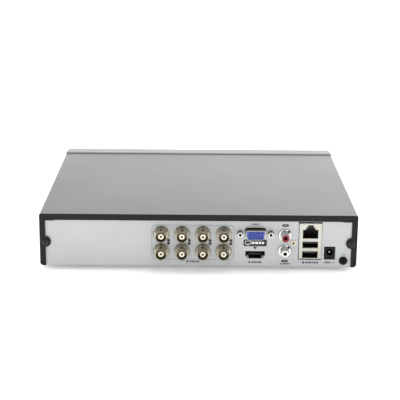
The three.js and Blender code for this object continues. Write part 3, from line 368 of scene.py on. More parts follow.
class Build:
    """Gathers shapes, each with its own material, into one mesh. Sizes are in mm."""

    def __init__(self, name, body="chassis", slot=None):
        self.name, self.body, self.slot = name, body, slot
        self.mesh = bmesh.new()
        self.materials = []

    def absorb(self, part, material, matrix=None):
        if material not in self.materials:
            self.materials.append(material)
        index = self.materials.index(material)
        bmesh.ops.recalc_face_normals(part, faces=part.faces)
        if matrix is not None:
            bmesh.ops.transform(part, matrix=matrix, verts=part.verts)
            if matrix.determinant() < 0:
                bmesh.ops.reverse_faces(part, faces=part.faces)
        for face in part.faces:
            face.material_index = index
            face.smooth = True
        scratch = bpy.data.meshes.new("scratch")
        part.to_mesh(scratch)
        part.free()
        self.mesh.from_mesh(scratch)
        bpy.data.meshes.remove(scratch)
        return self

    def box(self, low, high, material, bevel=0.15, segments=2, matrix=None):
        part = bmesh.new()
        bmesh.ops.create_cube(part, size=1)
        size = [h - l for l, h in zip(low, high)]
        middle = [(l + h) / 2 for l, h in zip(low, high)]
        bmesh.ops.scale(part, vec=size, verts=part.verts)
        bmesh.ops.translate(part, vec=middle, verts=part.verts)
        bevel = min(bevel, min(size) * 0.45)
        if bevel > 0:
            soften_edges(part, part.edges[:], bevel, segments)
        return self.absorb(part, material, matrix)

    def turned(self, profile, at, axis, material, segments=40, closed=False):
        """A profile of (radius, out) points turned about an axis through at."""
        part = bmesh.new()
        rings = []
        for radius, out in profile:
            if radius < 1e-6:
                rings.append([part.verts.new((0, 0, out))])
            else:
                turns = [2 * math.pi * k / segments for k in range(segments)]
                ring = [(radius * math.cos(turn), radius * math.sin(turn), out) for turn in turns]
                rings.append([part.verts.new(point) for point in ring])
        pairs = list(zip(rings, rings[1:])) + ([(rings[-1], rings[0])] if closed else [])
        for a, b in pairs:
            for k in range(segments):
                loop = [a[k % len(a)], a[(k + 1) % len(a)], b[(k + 1) % len(b)], b[k % len(b)]]
                unique = list(dict.fromkeys(loop))
                if len(unique) > 2:
                    part.faces.new(unique)
        return self.absorb(part, material, Matrix.Translation(at) @ AXES[axis])

    def prism(self, outline, low, high, at, axis, material, bevel=0.12, segments=2):
        """An outline pulled from low to high along the axis, its rims softened."""
        part = bmesh.new()
        base = [part.verts.new((x, y, low)) for x, y in outline]
        face = part.faces.new(base)
        pulled = bmesh.ops.extrude_face_region(part, geom=[face])["geom"]
        moved = [v for v in pulled if isinstance(v, bmesh.types.BMVert)]
        bmesh.ops.translate(part, vec=(0, 0, high - low), verts=moved)
        if bevel > 0:
            rims = [e for e in part.edges if abs(e.verts[0].co.z - e.verts[1].co.z) < 1e-6]
            soften_edges(part, rims, bevel, segments)
        return self.absorb(part, material, Matrix.Translation(at) @ AXES[axis])

    def plate(self, outer, holes, low, high, at, axis, material, bevel=0.08):
        """A flat plate with holes, its rims softened: drawn as a filled curve, then made a mesh."""
        curve = bpy.data.curves.new("plate", "CURVE")
        curve.dimensions, curve.fill_mode = "2D", "BOTH"
        curve.bevel_depth, curve.bevel_resolution, curve.offset = bevel, 1, -bevel
        curve.extrude = (high - low) / 2 - bevel
        for loop in [outer] + list(holes):
            spline = curve.splines.new("POLY")
            spline.points.add(len(loop) - 1)
            for point, (x, y) in zip(spline.points, loop):
                point.co = (x, y, 0, 1)
            spline.use_cyclic_u = True
        thing = bpy.data.objects.new("plate", curve)
        scene.collection.objects.link(thing)
        flat = evaluated_mesh(thing)
        part = bmesh.new()
        part.from_mesh(flat)
        bmesh.ops.remove_doubles(part, verts=part.verts, dist=1e-4)
        bpy.data.objects.remove(thing)
        bpy.data.curves.remove(curve)
        bpy.data.meshes.remove(flat)
        middle = Matrix.Translation((0, 0, (low + high) / 2))
        return self.absorb(part, material, Matrix.Translation(at) @ AXES[axis] @ middle)

    def ring_wall(self, outer, inner, low, high, at, axis, material):
        """A thin-walled sleeve between two outlines that have the same number of points."""
        part = bmesh.new()
        rows = []
        for outline, out in ((outer, low), (outer, high - 0.08), (inner, high - 0.08), (inner, low)):
            rows.append([part.verts.new((x, y, out)) for x, y in outline])
        lip = [part.verts.new(((a + c) / 2, (b + d) / 2, high)) for (a, b), (c, d) in zip(outer, inner)]
        rows.insert(2, lip)
        join_rows(part, rows + rows[:1])
        return self.absorb(part, material, Matrix.Translation(at) @ AXES[axis])

    def skin(self, rings, material, matrix=None):
        """A solid stretched over rings of points, all of the same count, and closed at both ends."""
        part = bmesh.new()
        rows = [[part.verts.new(point) for point in ring] for ring in rings]
        join_rows(part, rows)
        part.faces.new(rows[0])
        part.faces.new(rows[-1])
        return self.absorb(part, material, matrix)

    def wire(self, points, radius, material, flat=1.0, steps=8, sides=10, offset=(0, 0)):
        """A wire along a smooth curve. Flat widens it; offset shifts it (sideways, over) from the curve."""
        path = smooth_path(points, steps)
        rings = []
        for i, here in enumerate(path):
            ahead = (path[min(i + 1, len(path) - 1)] - path[max(i - 1, 0)]).normalized()
            side = ahead.cross(Vector((0, 0, 1)))
            side = side.normalized() if side.length > 0.05 else Vector((1, 0, 0))
            over = side.cross(ahead).normalized()
            middle = here + side * offset[0] + over * offset[1]
            turns = [2 * math.pi * k / sides for k in range(sides)]
            wide = side * radius * flat
            rings.append([middle + wide * math.cos(t) + over * (radius * math.sin(t)) for t in turns])
        return self.skin(rings, material)

    def carved(self, shape, cutters, material, bevel=0):
        """shape minus cutters, each a function that adds to a Build; used where a plate will not do."""
        solid, tool = Build("solid"), Build("tool")
        shape(solid)
        cutters(tool)
        target, blade = solid.object(), tool.object()
        cut = target.modifiers.new("cut", "BOOLEAN")
        cut.object, cut.operation, cut.solver = blade, "DIFFERENCE", "EXACT"
        cut.use_self = True
        if bevel:
            add_bevel(target, bevel)
        result = evaluated_mesh(target)
        part = bmesh.new()
        part.from_mesh(result)
        for thing in (target, blade):
            bpy.data.objects.remove(thing)
        bpy.data.meshes.remove(result)
        bmesh.ops.scale(part, vec=(1 / MM,) * 3, verts=part.verts)
        return self.absorb(part, material)

    def object(self):
        bmesh.ops.scale(self.mesh, vec=(MM,) * 3, verts=self.mesh.verts)
        mesh = bpy.data.meshes.new(self.name)
        self.mesh.to_mesh(mesh)
        self.mesh.free()
        for key in self.materials:
            mesh.materials.append(M[key])
        mesh.set_sharp_from_angle(angle=math.radians(32))
        thing = bpy.data.objects.new(self.name, mesh)
        scene.collection.objects.link(thing)
        return thing

    def finish(self, *stands_for):
        thing = self.object()
        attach(thing, self.body)
        if stands_for:
            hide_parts(*stands_for)
        return thing


def join_rows(part, rows):
    """Faces between each row of points and the next; every row is a loop of the same count."""
    count = len(rows[0])
    for a, b in zip(rows, rows[1:]):
        for k in range(count):
            part.faces.new((a[k], a[(k + 1) % count], b[(k + 1) % count], b[k]))


def evaluated_mesh(thing):
    """A copy of an object's mesh with its modifiers applied."""
    bpy.context.view_layer.update()
    return bpy.data.meshes.new_from_object(thing.evaluated_get(bpy.context.evaluated_depsgraph_get()))


def soften_edges(part, edges, width, segments):
    bmesh.ops.bevel(part, geom=edges, offset=width, segments=segments, affect="EDGES", profile=0.5)


def smooth_path(points, steps):
    """Points along a Catmull-Rom curve through the given ones."""
    p = [Vector(q) for q in points]
    p = [p[0] * 2 - p[1]] + p + [p[-1] * 2 - p[-2]]
    out = []
    for a, b, c, d in zip(p, p[1:], p[2:], p[3:]):
        bend = 2 * a - 5 * b + 4 * c - d
        twist = 3 * b - a - 3 * c + d
        for k in range(steps):
            t = k / steps
            out.append(0.5 * (2 * b + (c - a) * t + bend * t * t + twist * t ** 3))
    return out + [p[-2]]


def add_bevel(thing, width_mm, segments=2):
    """Softens a mesh's hard edges. The weld first joins the doubled corners of an imported node."""
    weld = thing.modifiers.new("weld", "WELD")
    weld.merge_threshold = 0.002 * MM
    bevel = thing.modifiers.new("bevel", "BEVEL")
    bevel.width, bevel.segments = width_mm * MM, segments
    bevel.limit_method, bevel.angle_limit = "ANGLE", math.radians(32)
    bevel.use_clamp_overlap = True
    bevel.harden_normals = True
    return thing


def dress(node, material, bevel_mm):
    """Gives a CAD node that is shown as it is its finish and softened edges."""
    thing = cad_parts[node]
    thing.data.materials.clear()
    thing.data.materials.append(M[material])
    add_bevel(thing, bevel_mm)


def cross_head(build, at, axis, radius, height, material, shank=0.0, shank_radius=1.5, shade="hole",
               cross=(0.52, 0.12)):
    """A domed screw head with a sunk cross recess, darker at its floor. Cross: its reach and half width."""
    place = Matrix.Translation(at) @ AXES[axis]
    floor, above = height * 0.25, height + 1
    long, thin = radius * cross[0], radius * cross[1]

    def bars(b, long, thin, low, high, finish):
        for reach_x, reach_y in ((long, thin), (thin, long)):
            b.box((-reach_x, -reach_y, low), (reach_x, reach_y, high), finish, 0, 1, place)

    def head(b):
        turns = [math.radians(a) for a in range(0, 90, 12)]
        dome = [(radius * math.cos(turn), height * (0.35 + 0.65 * math.sin(turn))) for turn in turns]
        rim = [(0, 0), (radius * 0.97, 0), (radius, height * 0.12)]
        b.turned(rim + dome + [(0, height)], at, axis, material, 40)

    def recess(b):
        bars(b, long, thin, floor, above, material)
        cone = [(0, height * 0.175), (thin * 1.9, floor), (thin * 3.2, above), (0, above)]
        b.turned(cone, at, axis, material, 16)

    build.carved(head, recess, material)
    bars(build, long * 0.96, thin * 0.92, floor - 0.1, floor + 0.06, shade)
    if shank:
        thread = [(shank_radius * (1 if k % 2 else 0.86), -shank * k / 14) for k in range(15)]
        profile = [(0, 0.1), (thread[0][0], 0.1)] + thread + [(0, -shank - 0.3)]
        build.turned(profile, at, axis, material, 20)


# ------------------------------------------------------------------ case
# CAD nodes that are shown as they are: their finish and how far their edges are softened, in mm
SHOWN_AS_BUILT = {
    "chassis_tray": ("panel", 0.15),
    "top_cover": ("cover", 0.25),
    "front_fascia": ("fascia", 0.5),
    "fascia_window": ("window", 0.2),
    "led_light_guide": ("lens", 0.15),
    "front_board": ("board", 0.1),
    "foot_front_left": ("rubber", 0.3),
    "foot_front_right": ("rubber", 0.3),
    "foot_rear_left": ("rubber", 0.3),
    "foot_rear_right": ("rubber", 0.3),
    "audio_housing": ("black", 0.4),
    "lan_usb_core": ("black", 0.15),
    "processor": ("chip", 0.2),
    "heatsink": ("aluminium", 0.15),
    "battery_holder": ("black", 0.25),
    "coin_cell": ("bright", 0.3),
    "fan_frame": ("black", 0.3),
    "drive_case": ("cast", 0.4),
    "drive_board": ("board", 0.1),
    "drive_platters": ("mirror", 0.1),
    "drive_head_arm": ("aluminium", 0.15),
}


def dress_cad_nodes():
    for node, (material, bevel_mm) in SHOWN_AS_BUILT.items():
        dress(node, material, bevel_mm)


def make_cover_screws():
    for side in ("left", "right"):
        middle = centre_mm(f"cover_screw_{side}")
        at = (middle.x, REAR + 0.05, middle.z)
        screw = Build(f"cover_screw_{side}_shown", "cover", "black_steel")
        cross_head(screw, at, "+Y", 2.9, 1.5, "black_steel", 6, shade="black_steel")
        screw.finish(f"cover_screw_{side}")


def accessory_contacts(x):
    """Where the four contacts of an accessory socket lie, round its middle x."""
    return [x - 3.75 + 2.5 * k for k in range(4)]


def make_front_socket():
    """The accessory socket behind the fascia's window: plated sleeve, tongue and four contacts."""
    low, high = box_mm("front_usb_port")
    x, z = (low.x + high.x) / 2, (low.z + high.z) / 2
    socket = Build("front_usb_port_shown", slot="tinned_steel")
    at = (x, high.y, z)
    depth = high.y - low.y
    socket.ring_wall(rounded(13.2, 5.6, 0.5), rounded(12.4, 4.8, 0.3), 1, depth, at, "-Y", "tin")
    socket.box((x - 6.4, high.y - 1.2, z - 2.6), (x + 6.4, high.y, z + 2.6), "black")
    socket.box((x - 5.6, low.y + 1.4, z + 0.2), (x + 5.6, high.y - 1, z + 1.9), "white", 0.2)
    for cx in accessory_contacts(x):
        socket.box((cx - 0.5, low.y + 2, z), (cx + 0.5, high.y - 1.5, z + 0.25), "gold", 0.05)
    socket.finish("front_usb_port")


# ------------------------------------------------------------------ video sockets
def video_barrel(build, x, z):
    """The bayonet barrel with its stepped base, threads, lugs and bore. The base, threads, bore, lugs and a
    pad on top are coloured darker than the nickel: painted shade.
    """
    at, tip = (x, PANEL, z), TIP - PANEL
    thread = [(5.95, 0.85), (5.95, 1.35), (5.45, 1.55), (5.45, 1.85), (5.9, 2.05)]
    base = [(0, -3), (6.2, -3), (6.2, -0.4), (6.45, -0.3), (6.45, 0.5), (6.33, 0.7), (6, 0.8), (0, 0.8)]
    neck = [(0, 2.5), (5.85, 2.5), (5.4, 2.7), (5.3, 3.5), (5.1, 3.7), (4.7, 3.8), (4.65, 4.3), (4.8, 4.45)]
    mouth = [(4.8, tip - 0.3), (4.7, tip - 0.06), (4.55, tip), (4.38, tip - 0.06), (4.3, tip - 0.2)]
    build.turned(base, at, "+Y", "nickel_base_shade", 56)
    build.turned([(0, 0.75)] + thread + [(5.9, 2.55), (0, 2.55)], at, "+Y", "thread", 56)
    build.turned(neck + mouth + [(4.3, tip - 8.2), (0, tip - 8.2)], at, "+Y", "nickel", 56)
    mouth_end, floor = tip - 0.35, tip - 8
    liner = [(4.28, mouth_end), (4.28, floor - 0.1), (0, floor - 0.1),
             (0, floor), (4.2, floor), (4.2, mouth_end)]
    build.turned(liner, at, "+Y", "bore", 40)
    # a dark pad on top of the threads: painted shade where the keyway flat sits
    build.box((x - 1.1, PANEL + 0.85, z + 5), (x + 1.1, PANEL + 2.52, z + 6), "nickel_dark", 0.1)
    # the lugs in the darker nickel: painted shade
    lug = [(0, 4.4), (1, 4.4), (1, 5.55), (0.85, 5.72), (0, 5.78)]
    for axis in ("+Z", "-Z"):
        build.turned(lug, (x, PANEL + tip - 3.6, z), axis, "nickel_dark", 20)


def video_core(name, x, z):
    """The pale insulator and the gold centre contact in one video socket; the contact is coloured dark
    brown and its hole black: painted shade.
    """
    tip, at = TIP - PANEL, (x, PANEL, z)
    core = Build(f"{name}_shown", slot="cream_insulator")
    profile = [(0, tip - 7.9), (2.25, tip - 7.9), (2.25, tip - 1.05), (2.1, tip - 0.8), (1.15, tip - 0.75),
               (1, tip - 0.9), (1, tip - 6), (0, tip - 6)]
    core.turned(profile, at, "+Y", "cream", 40)
    contact = [(0.98, tip - 5.9), (0.98, tip - 2), (0.92, tip - 1.9), (0.74, tip - 2), (0.74, tip - 5.9)]
    core.turned(contact, at, "+Y", "brown", 24, closed=True)
    core.turned(disc(0.73, tip - 5.8, tip - 2.6), at, "+Y", "hole", 16)
    core.finish(name)


def make_video_sockets():
    for column in range(1, 5):
        pair = f"bnc_pair_{column}"
        low, high = box_mm(pair)
        x = (low.x + high.x) / 2
        sockets = Build(f"{pair}_shown", slot="die_cast_nickel")
        sockets.box((low.x, low.y, low.z), (high.x, PANEL - 1.35, high.z), "nickel", 0.6, 3)
        for row in (0, 1):
            name = f"bnc_insulator_{column * 2 - 1 + row}"
            z = centre_mm(name).z
            video_barrel(sockets, x, z)
            video_core(name, x, z)
        sockets.finish(pair)


# ------------------------------------------------------------------ monitor and digital video sockets
def make_monitor_socket():
    middle = centre_mm("vga_shell")
    reach = box_mm("vga_shell")[1].y - PANEL
    at = (middle.x, PANEL, middle.z)
    screws = [centre_mm(f"vga_jackscrew_{side}").x - middle.x for side in ("left", "right")]
    shell = Build("vga_shell_shown", slot="bright_nickel")
    opening = d_shape(15.7, 7.1, 1.9)
    outside = d_shape(16.4, 7.9, 2.2)
    # the shell's wall in the darker nickel, painted shade; only its front lip is bright
    shell.ring_wall(outside, opening, -2.2, reach - 1.2, at, "+Y", "nickel_dark")
    shell.ring_wall(outside, opening, reach - 1.25, reach, at, "+Y", "bright")
    # the flange behind the panel in the darker nickel: painted shade in the gap round the shell
    flange_holes = [opening] + [circle(1.7, dx) for dx in screws]
    shell.plate(rounded(30.6, 12, 2), flange_holes, -2.3, -1.35, at, "+Y", "nickel_dark")
    shell.finish("vga_shell")

    core = Build("vga_insert_shown", slot="blue_plastic")
    across_pitch, row_pitch, half_step = 2.29, 1.98, 0.57
    holes = [circle(0.74, i * across_pitch + (half_step if row == 0 else -half_step), row * row_pitch, 14)
             for row in (-1, 0, 1) for i in (-2, -1, 0, 1, 2)]
    core.plate(d_shape(15.3, 6.7, 1.6), holes, reach - 0.9, reach - 0.3, at, "+Y", "blue")
    # a near-black block behind the blue face: painted shade in the pin holes
    core.prism(d_shape(15, 6.4, 1.6), -2.6, reach - 0.95, at, "+Y", "hole")
    rear_block = (middle.x - 15, PANEL - 14, BOARD + 8.7), (middle.x + 15, PANEL - 2.6, middle.z + 6)
    core.box(*rear_block, "black", 0.4)
    core.finish("vga_insert")

    for side in ("left", "right"):
        place = centre_mm(f"vga_jackscrew_{side}")
        at = (place.x, PANEL, place.z)
        screw = Build(f"vga_jackscrew_{side}_shown", slot="bright_nickel")
        washer = [(1.5, 0.02), (2.5, 0.02), (2.6, 0.12), (2.6, 0.4), (2.5, 0.5), (1.5, 0.5)]
        screw.turned(washer, at, "+Y", "hexagon", 36, closed=True)
        hexagon, bore = circle(2.3, steps=6), [circle(1.25, steps=20)]
        screw.plate(hexagon, bore, 0.5, 4.6, at, "+Y", "hexagon", 0.1)
        screw.plate(hexagon, bore, 4.55, 5.2, at, "+Y", "bright", 0.22)
        # near black inside the jackscrew's threaded bore: painted shade
        inside = [(0, 0.7), (1.3, 0.7), (1.3, 4.6), (1.18, 4.4), (1.18, 3.4), (0, 3.4)]
        screw.turned(inside, at, "+Y", "hole", 20)
        screw.turned([(0, -6), (1.3, -6), (1.4, -5.7), (1.4, 0.1), (0, 0.1)], at, "+Y", "bright", 20)
        screw.finish(f"vga_jackscrew_{side}")


def make_digital_socket():
    middle = centre_mm("hdmi_tongue")
    x, z = middle.x, centre_mm("hdmi_tongue").z - 0.25
    at = (x, PANEL, z)
    shell = Build("hdmi_shell_shown", slot="bright_nickel")
    mouth, lining = digital_shape(15.1, 5.4, 0.4), digital_shape(15, 5.3, 0.4)
    # the outer wall in the darker nickel and the lining near black: painted shade round and inside the
    # mouth
    shell.ring_wall(digital_shape(15.7, 6), mouth, -12.5, -0.15, at, "+Y", "nickel_dark")
    shell.ring_wall(lining, digital_shape(14.6, 4.9, 0.4), -12, -1.2, at, "+Y", "hole")
    for side in (-1, 1):  # sprung lips along the slanted lower corners
        lip = [(side * 6.9, -0.9), (side * 5.4, -2.1), (side * 5.1, -1.8), (side * 6.6, -0.6)]
        shell.prism(lip, -1.6, -0.5, at, "+Y", "bright", 0.06)
        leg = x + side * 5
        shell.box((leg - 1.4, PANEL - 9, BOARD + 0.1), (leg + 1.4, PANEL - 8.5, z - 2.6), "bright")
    shell.prism(lining, -12.4, -11.2, at, "+Y", "black")
    shell.finish("hdmi_shell")
    tongue = Build("hdmi_tongue_shown", slot="black_plastic")
    tongue.box((x - 5.6, PANEL - 11.3, z - 0.4), (x + 5.6, PANEL - 2, z + 0.9), "black", 0.25)
    for k in range(19):
        cx, face = x + (k - 9) * 0.5, (z + 0.9 if k % 2 else z - 0.4)
        tongue.box((cx - 0.14, PANEL - 10, face - 0.06), (cx + 0.14, PANEL - 3, face + 0.06), "gold", 0)
    tongue.finish("hdmi_tongue")


# ------------------------------------------------------------------ audio
def make_audio():
    tip = box_mm("audio_out_shell")[1].y - PANEL
    for name, colour in (("audio_out", "white"), ("audio_in", "red")):
        middle = centre_mm(f"{name}_shell")
        at = (middle.x, PANEL, middle.z)
        shell = Build(f"{name}_shell_shown", slot="bright_nickel")
        body = [(3, -10.5), (4.3, -10.5), (4.3, -1.35)]
        flange = [(5.15, -1.3), (5.25, -1.2), (5.25, 0.45), (5.1, 0.62), (4.4, 0.66), (4.3, 0.35)]
        collar = [(4.05, 0.35), (3.95, 1.8), (3.8, 2), (3.6, 2.1)]
        lip = [(3.6, tip - 0.35), (3.5, tip - 0.1), (3.3, tip), (3.1, tip - 0.1), (3, tip - 0.5)]
        shell.turned(body + flange + collar + lip, at, "+Y", "bright", 48, closed=True)
        # the notch that keys the socket's flange, drawn as a near-black pad: painted shade
        notch = shifted(rounded(1.3, 2.2, 0.3, 2), 4.65, 0)
        spin = Matrix.Rotation(math.radians(135), 2)
        shell.prism([tuple(spin @ Vector(q)) for q in notch], 0.3, 0.72, at, "+Y", "hole", 0.03)
        shell.finish(f"{name}_shell")
        core = Build(f"{name}_insulator_shown", slot=f"{colour}_plastic")
        ring = [(0, -10.2), (2.95, -10.2), (2.95, tip - 0.7), (2.8, tip - 0.45), (1.85, tip - 0.35),
                (1.7, tip - 0.6), (1.7, -8), (0, -8)]
        core.turned(ring, at, "+Y", colour, 40)
        # the contact sleeve and its bore in near black: painted shade
        sleeve = [(1.68, -7.9), (1.68, tip - 2), (1.45, tip - 1.8), (1.45, -7.9)]
        core.turned(sleeve, at, "+Y", "hole", 24, closed=True)
        core.turned(disc(1.44, -7.9, tip - 3), at, "+Y", "hole", 20)
        core.finish(f"{name}_insulator")
    middle = centre_mm("audio_screw")
    screw = Build("audio_screw_shown", slot="die_cast_nickel")
    at = (middle.x, PANEL + 0.03, middle.z)
    cross_head(screw, at, "+Y", 2.4, 1.5, "brass_screw", 5, 1.3, cross=(0.62, 0.15))
    screw.finish("audio_screw")


# ------------------------------------------------------------------ network and accessory sockets
def network_outline(top):
    """The network socket's mouth: a rectangle with two steps up to the latch slot, below the can's top."""
    right, level = [], top - 12.9
    for half_width, below in ((6.25, 5.4), (3.7, 3.4), (2.35, 1.5)):
        right += [(half_width, level), (half_width, top - below)]
        level = top - below
    return right + [(-x, z) for x, z in reversed(right)]


def make_stacked_sockets():
    """The plated can round the network socket and the two accessory sockets, and their contacts."""
    low, high = box_mm("lan_usb_shield")
    x, top, floor = (low.x + high.x) / 2, high.z, box_mm("lan_usb_core")[0].z - 0.3
    at = (x, PANEL, 0)
    width = high.x - low.x
    accessory = ((top - 18.25, 5.3), (top - 26.77, 5.75))  # middle and height of each mouth
    can = Build("lan_usb_shield_shown", slot="tinned_steel")
    mouths = [network_outline(top)] + [shifted(rounded(12.7, height, 0.3), 0, z) for z, height in accessory]
    face = shifted(rounded(width, top - floor, 0.5), 0, (top + floor) / 2)
    can.plate(face, mouths, -0.3, 0.35, at, "+Y", "tin", 0.12)
    for side in (low.x, high.x - 0.5):
        can.box((side, PANEL - 21, floor), (side + 0.5, PANEL - 0.2, top), "tin", 0.1)
    can.box((low.x, PANEL - 21, top - 0.5), (high.x, PANEL - 0.2, top), "tin", 0.1)
    can.box((low.x, PANEL - 21, floor), (high.x, PANEL - 20.5, top), "tin", 0.1)
    sprung = ((PANEL - 4, top), (PANEL - 1.5, top + 0.55), (PANEL + 0.1, top + 0.25))
    for dx in (-4.6, 4.6):  # the sprung fingers that touch the panel above the sockets
        can.wire([(x + dx, y, z) for y, z in sprung], 0.2, "tin", 8, 5, 8)
    for y in (PANEL - 17, PANEL - 5):
        for side in (low.x, high.x - 0.5):
            can.box((side, y - 1, BOARD + 0.05), (side + 0.5, y + 1, floor + 0.5), "tin", 0.05)
    can.finish("lan_usb_shield")

    inside = Build("socket_contacts")
    for k in range(8):
        cx = x + (k - 3.5) * 1.02
        spring = [(cx, PANEL - 1.6, top - 12.6), (cx, PANEL - 4, top - 11.8), (cx, PANEL - 9.5, top - 8.4)]
        inside.wire(spring, 0.22, "gold", steps=4, sides=6)
    for middle, height in accessory:
        tongue = middle + 0.45
        liner = (rounded(12.5, height - 0.15, 0.3), rounded(12.1, height - 0.55, 0.2))
        # the accessory mouths lined in the darker nickel: painted shade
        inside.ring_wall(*liner, -9.5, -0.4, (x, PANEL, middle), "+Y", "nickel_dark")
        inside.box((x - 5.5, PANEL - 3, tongue + 0.1), (x + 5.5, PANEL - 2, tongue + 1.4), "tongue", 0.2)
        for cx in accessory_contacts(x):
            low, high = (cx - 0.5, PANEL - 9.8, tongue - 0.12), (cx + 0.5, PANEL - 3, tongue + 0.1)
            inside.box(low, high, "gold", 0.03)
    inside.finish()


# ------------------------------------------------------------------ power and ground
def make_power():
    low, high = box_mm("power_jack")
    pin = centre_mm("power_pin")
    at = (pin.x, PANEL, pin.z)
    jack = Build("power_jack_shown", slot="black_plastic")
    bore = [(0, -9), (2.7, -9), (2.7, 0.2), (2.95, 0.6), (0, 0.6)]
    jack.carved(lambda b: b.box(low, high, "jack", 0.35, 3),
                lambda b: b.turned(bore, at, "+Y", "jack", 40),
                "jack")
    # the contact spring in the darker nickel: painted shade inside the jack
    spring = (pin.x - 1.1, PANEL - 8.8, pin.z - 3), (pin.x + 1.1, PANEL - 2, pin.z - 2.6)
    jack.box(*spring, "nickel_dark", 0.1)
    jack.finish("power_jack")
    post = Build("power_pin_shown", slot="bright_nickel")
    post.turned([(0, -9), (1, -9), (1, -1.8), (0.85, -1.2), (0.5, -0.9), (0, -0.8)], at, "+Y", "bright", 28)
    post.finish("power_pin")


def make_ground():
    middle = centre_mm("ground_washer")
    washer = Build("ground_washer_shown", "earth_washer", "black_steel")
    edge = (box_mm("ground_washer")[1].x - box_mm("ground_washer")[0].x) / 2
    ring = [(1.8, 0.1), (edge - 0.1, 0.1), (edge, 0.22), (edge, 0.78), (edge - 0.12, 0.9), (1.8, 0.9)]
    washer.turned(ring, (middle.x, PANEL, middle.z), "+Y", "jack", 40, closed=True)
    washer.finish("ground_washer")
    screw = Build("ground_screw_shown", "earth_screw", "black_steel")
    cross_head(screw, (middle.x, PANEL + 1, middle.z), "+Y", 2.95, 1.9, "jack", 4, shade="jack")
    screw.finish("ground_screw")


# ------------------------------------------------------------------ printing on the panel
DIGIT_BARS = {1: "bc", 2: "abged", 3: "abgcd", 4: "fgbc", 5: "afgcd", 6: "afgedc", 7: "abc", 8: "abcdefg"}
BAR_PLACES = {"a": (0, 1, 0), "g": (0, 0, 0), "d": (0, -1, 0), "b": (1, 0.5, 1), "c": (1, -0.5, 1),
              "f": (-1, 0.5, 1), "e": (-1, -0.5, 1)}


def print_plate(build, outline, holes, x, z, material, layer=0):
    """A film of ink on the panel."""
    low = 0.012 + 0.015 * layer
    build.plate(outline, holes, low, low + 0.012, (x, PANEL, z), "+Y", material, 0)


def print_caption(build, x, z, width, height, material="ink"):
    """Plain blocks standing in for a short printed caption."""
    shares = (0.13, 0.06, 0.11, 0.13, 0.08, 0.12, 0.1)
    gap = width * (1 - sum(shares)) / (len(shares) - 1)
    left = x + width / 2
    for share in shares:
        w = width * share
        print_plate(build, rounded(w, height, 0.15, 2), [], left - w / 2, z, material)
        left -= w + gap


def print_digit(build, digit, x, z, height):
    h, w, t = height / 2, height * 0.25, height * 0.1
    for bar in DIGIT_BARS[digit]:
        sx, sz, upright = BAR_PLACES[bar]
        size = (t, h) if upright else (2 * w, t)
        # the panel is read from behind, where +x is on the left
        print_plate(build, rounded(*size, t * 0.3, 1), [], x - sx * w, z + sz * h, "ink_dim", 1)


def make_panel_print():
    ink = Build("panel_print")
    columns = [centre_mm(f"bnc_pair_{k}").x for k in range(1, 5)]
    upper, lower = centre_mm("bnc_insulator_2").z, centre_mm("bnc_insulator_1").z
    middle_x, middle_z = (columns[0] + columns[-1]) / 2, (upper + lower) / 2
    frame_w, frame_h = abs(columns[0] - columns[-1]) + 16.4, upper - lower + 15
    line = [rounded(frame_w - 1.1, frame_h - 1.1, 2.4)]
    print_plate(ink, rounded(frame_w, frame_h, 3), line, middle_x - 0.3, middle_z + 0.2, "ink_grey")
    print_caption(ink, middle_x - 0.4, up(4.4), 10.8, 1.5)
    for k, x in enumerate(columns):
        for row, z in enumerate((up(22.6), up(19.9))):
            print_plate(ink, circle(1.3, steps=24), [], x - 5.95, z, "ink")
            print_digit(ink, k * 2 + 1 + row, x - 5.95, z, 1.0)

    monitor = centre_mm("vga_shell").x
    print_caption(ink, monitor, up(36.8), 5.3, 1.3)
    print_plate(ink, rounded(19.2, 5.8, 1.2), [], monitor, up(20.85), "ink")
    screen, glass = rounded(4.6, 3, 0.4, 3), rounded(3.9, 2.3, 0.2, 3)
    print_plate(ink, screen, [glass], monitor + 6, up(21.05), "ink_white", 1)
    print_plate(ink, rounded(2, 0.4, 0.1, 1), [], monitor + 6, up(19.15), "ink_white", 1)
    for dx, w in ((1.8, 2.2), (-1.2, 2.6), (-4, 1.8), (-6.4, 1.8)):
        print_plate(ink, rounded(w, 2, 0.3, 2), [], monitor + dx, up(20.85), "ink_white", 1)
    print_plate(ink, [(-1.8, 1.15), (1.8, 1.15), (0, -1.15)], [], monitor, up(16.35), "ink")
    print_caption(ink, centre_mm("hdmi_tongue").x, up(4.1), 10.6, 1.5)

    audio = centre_mm("audio_in_shell").x
    for z in (up(35.95), up(5.3)):
        print_plate(ink, rounded(5.4, 2.1, 0.9, 4), [], audio - 0.2, z, "ink")
        for dx in (-0.9, 0.5):
            print_plate(ink, rounded(1, 0.7, 0.1, 1), [], audio - 0.2 + dx, z, "ink_grey", 1)
    print_caption(ink, audio - 0.6, up(2.9), 8, 1.3)
    print_caption(ink, centre_mm("lan_usb_shield").x - 0.4, up(4.15), 13, 1.6)
    power = centre_mm("power_pin").x
    print_caption(ink, power + 1.6, up(4.3), 5, 1.5)
    print_caption(ink, power - 2.9, up(4.2), 3.2, 0.9, "ink_grey")

    ground = centre_mm("ground_washer")
    print_plate(ink, rounded(0.45, 1, 0.1, 1), [], ground.x - 0.15, ground.z + 6.3, "ink_grey")
    for k in range(3):
        bar = rounded(4.6 - 1.5 * k, 0.4, 0.1, 1)
        print_plate(ink, bar, [], ground.x - 0.15, ground.z + 5.7 - 0.6 * k, "ink_grey")
    dimple = [(0, -0.4), (1.2, -0.4), (1.15, 0.12), (0.6, 0.3), (0, 0.33)]
    ink.turned(dimple, ((columns[0] + columns[1]) / 2 - 2.9, PANEL, middle_z + 0.45), "+Y", "panel", 24)
    ink.finish()


# ------------------------------------------------------------------ main board
def from_rear(d):
    """y of a point d mm inside the cover's rear face."""
    return REAR - d


def on_board(u, d, height=0.0):
    return Vector((across(u), from_rear(d), BOARD + height))


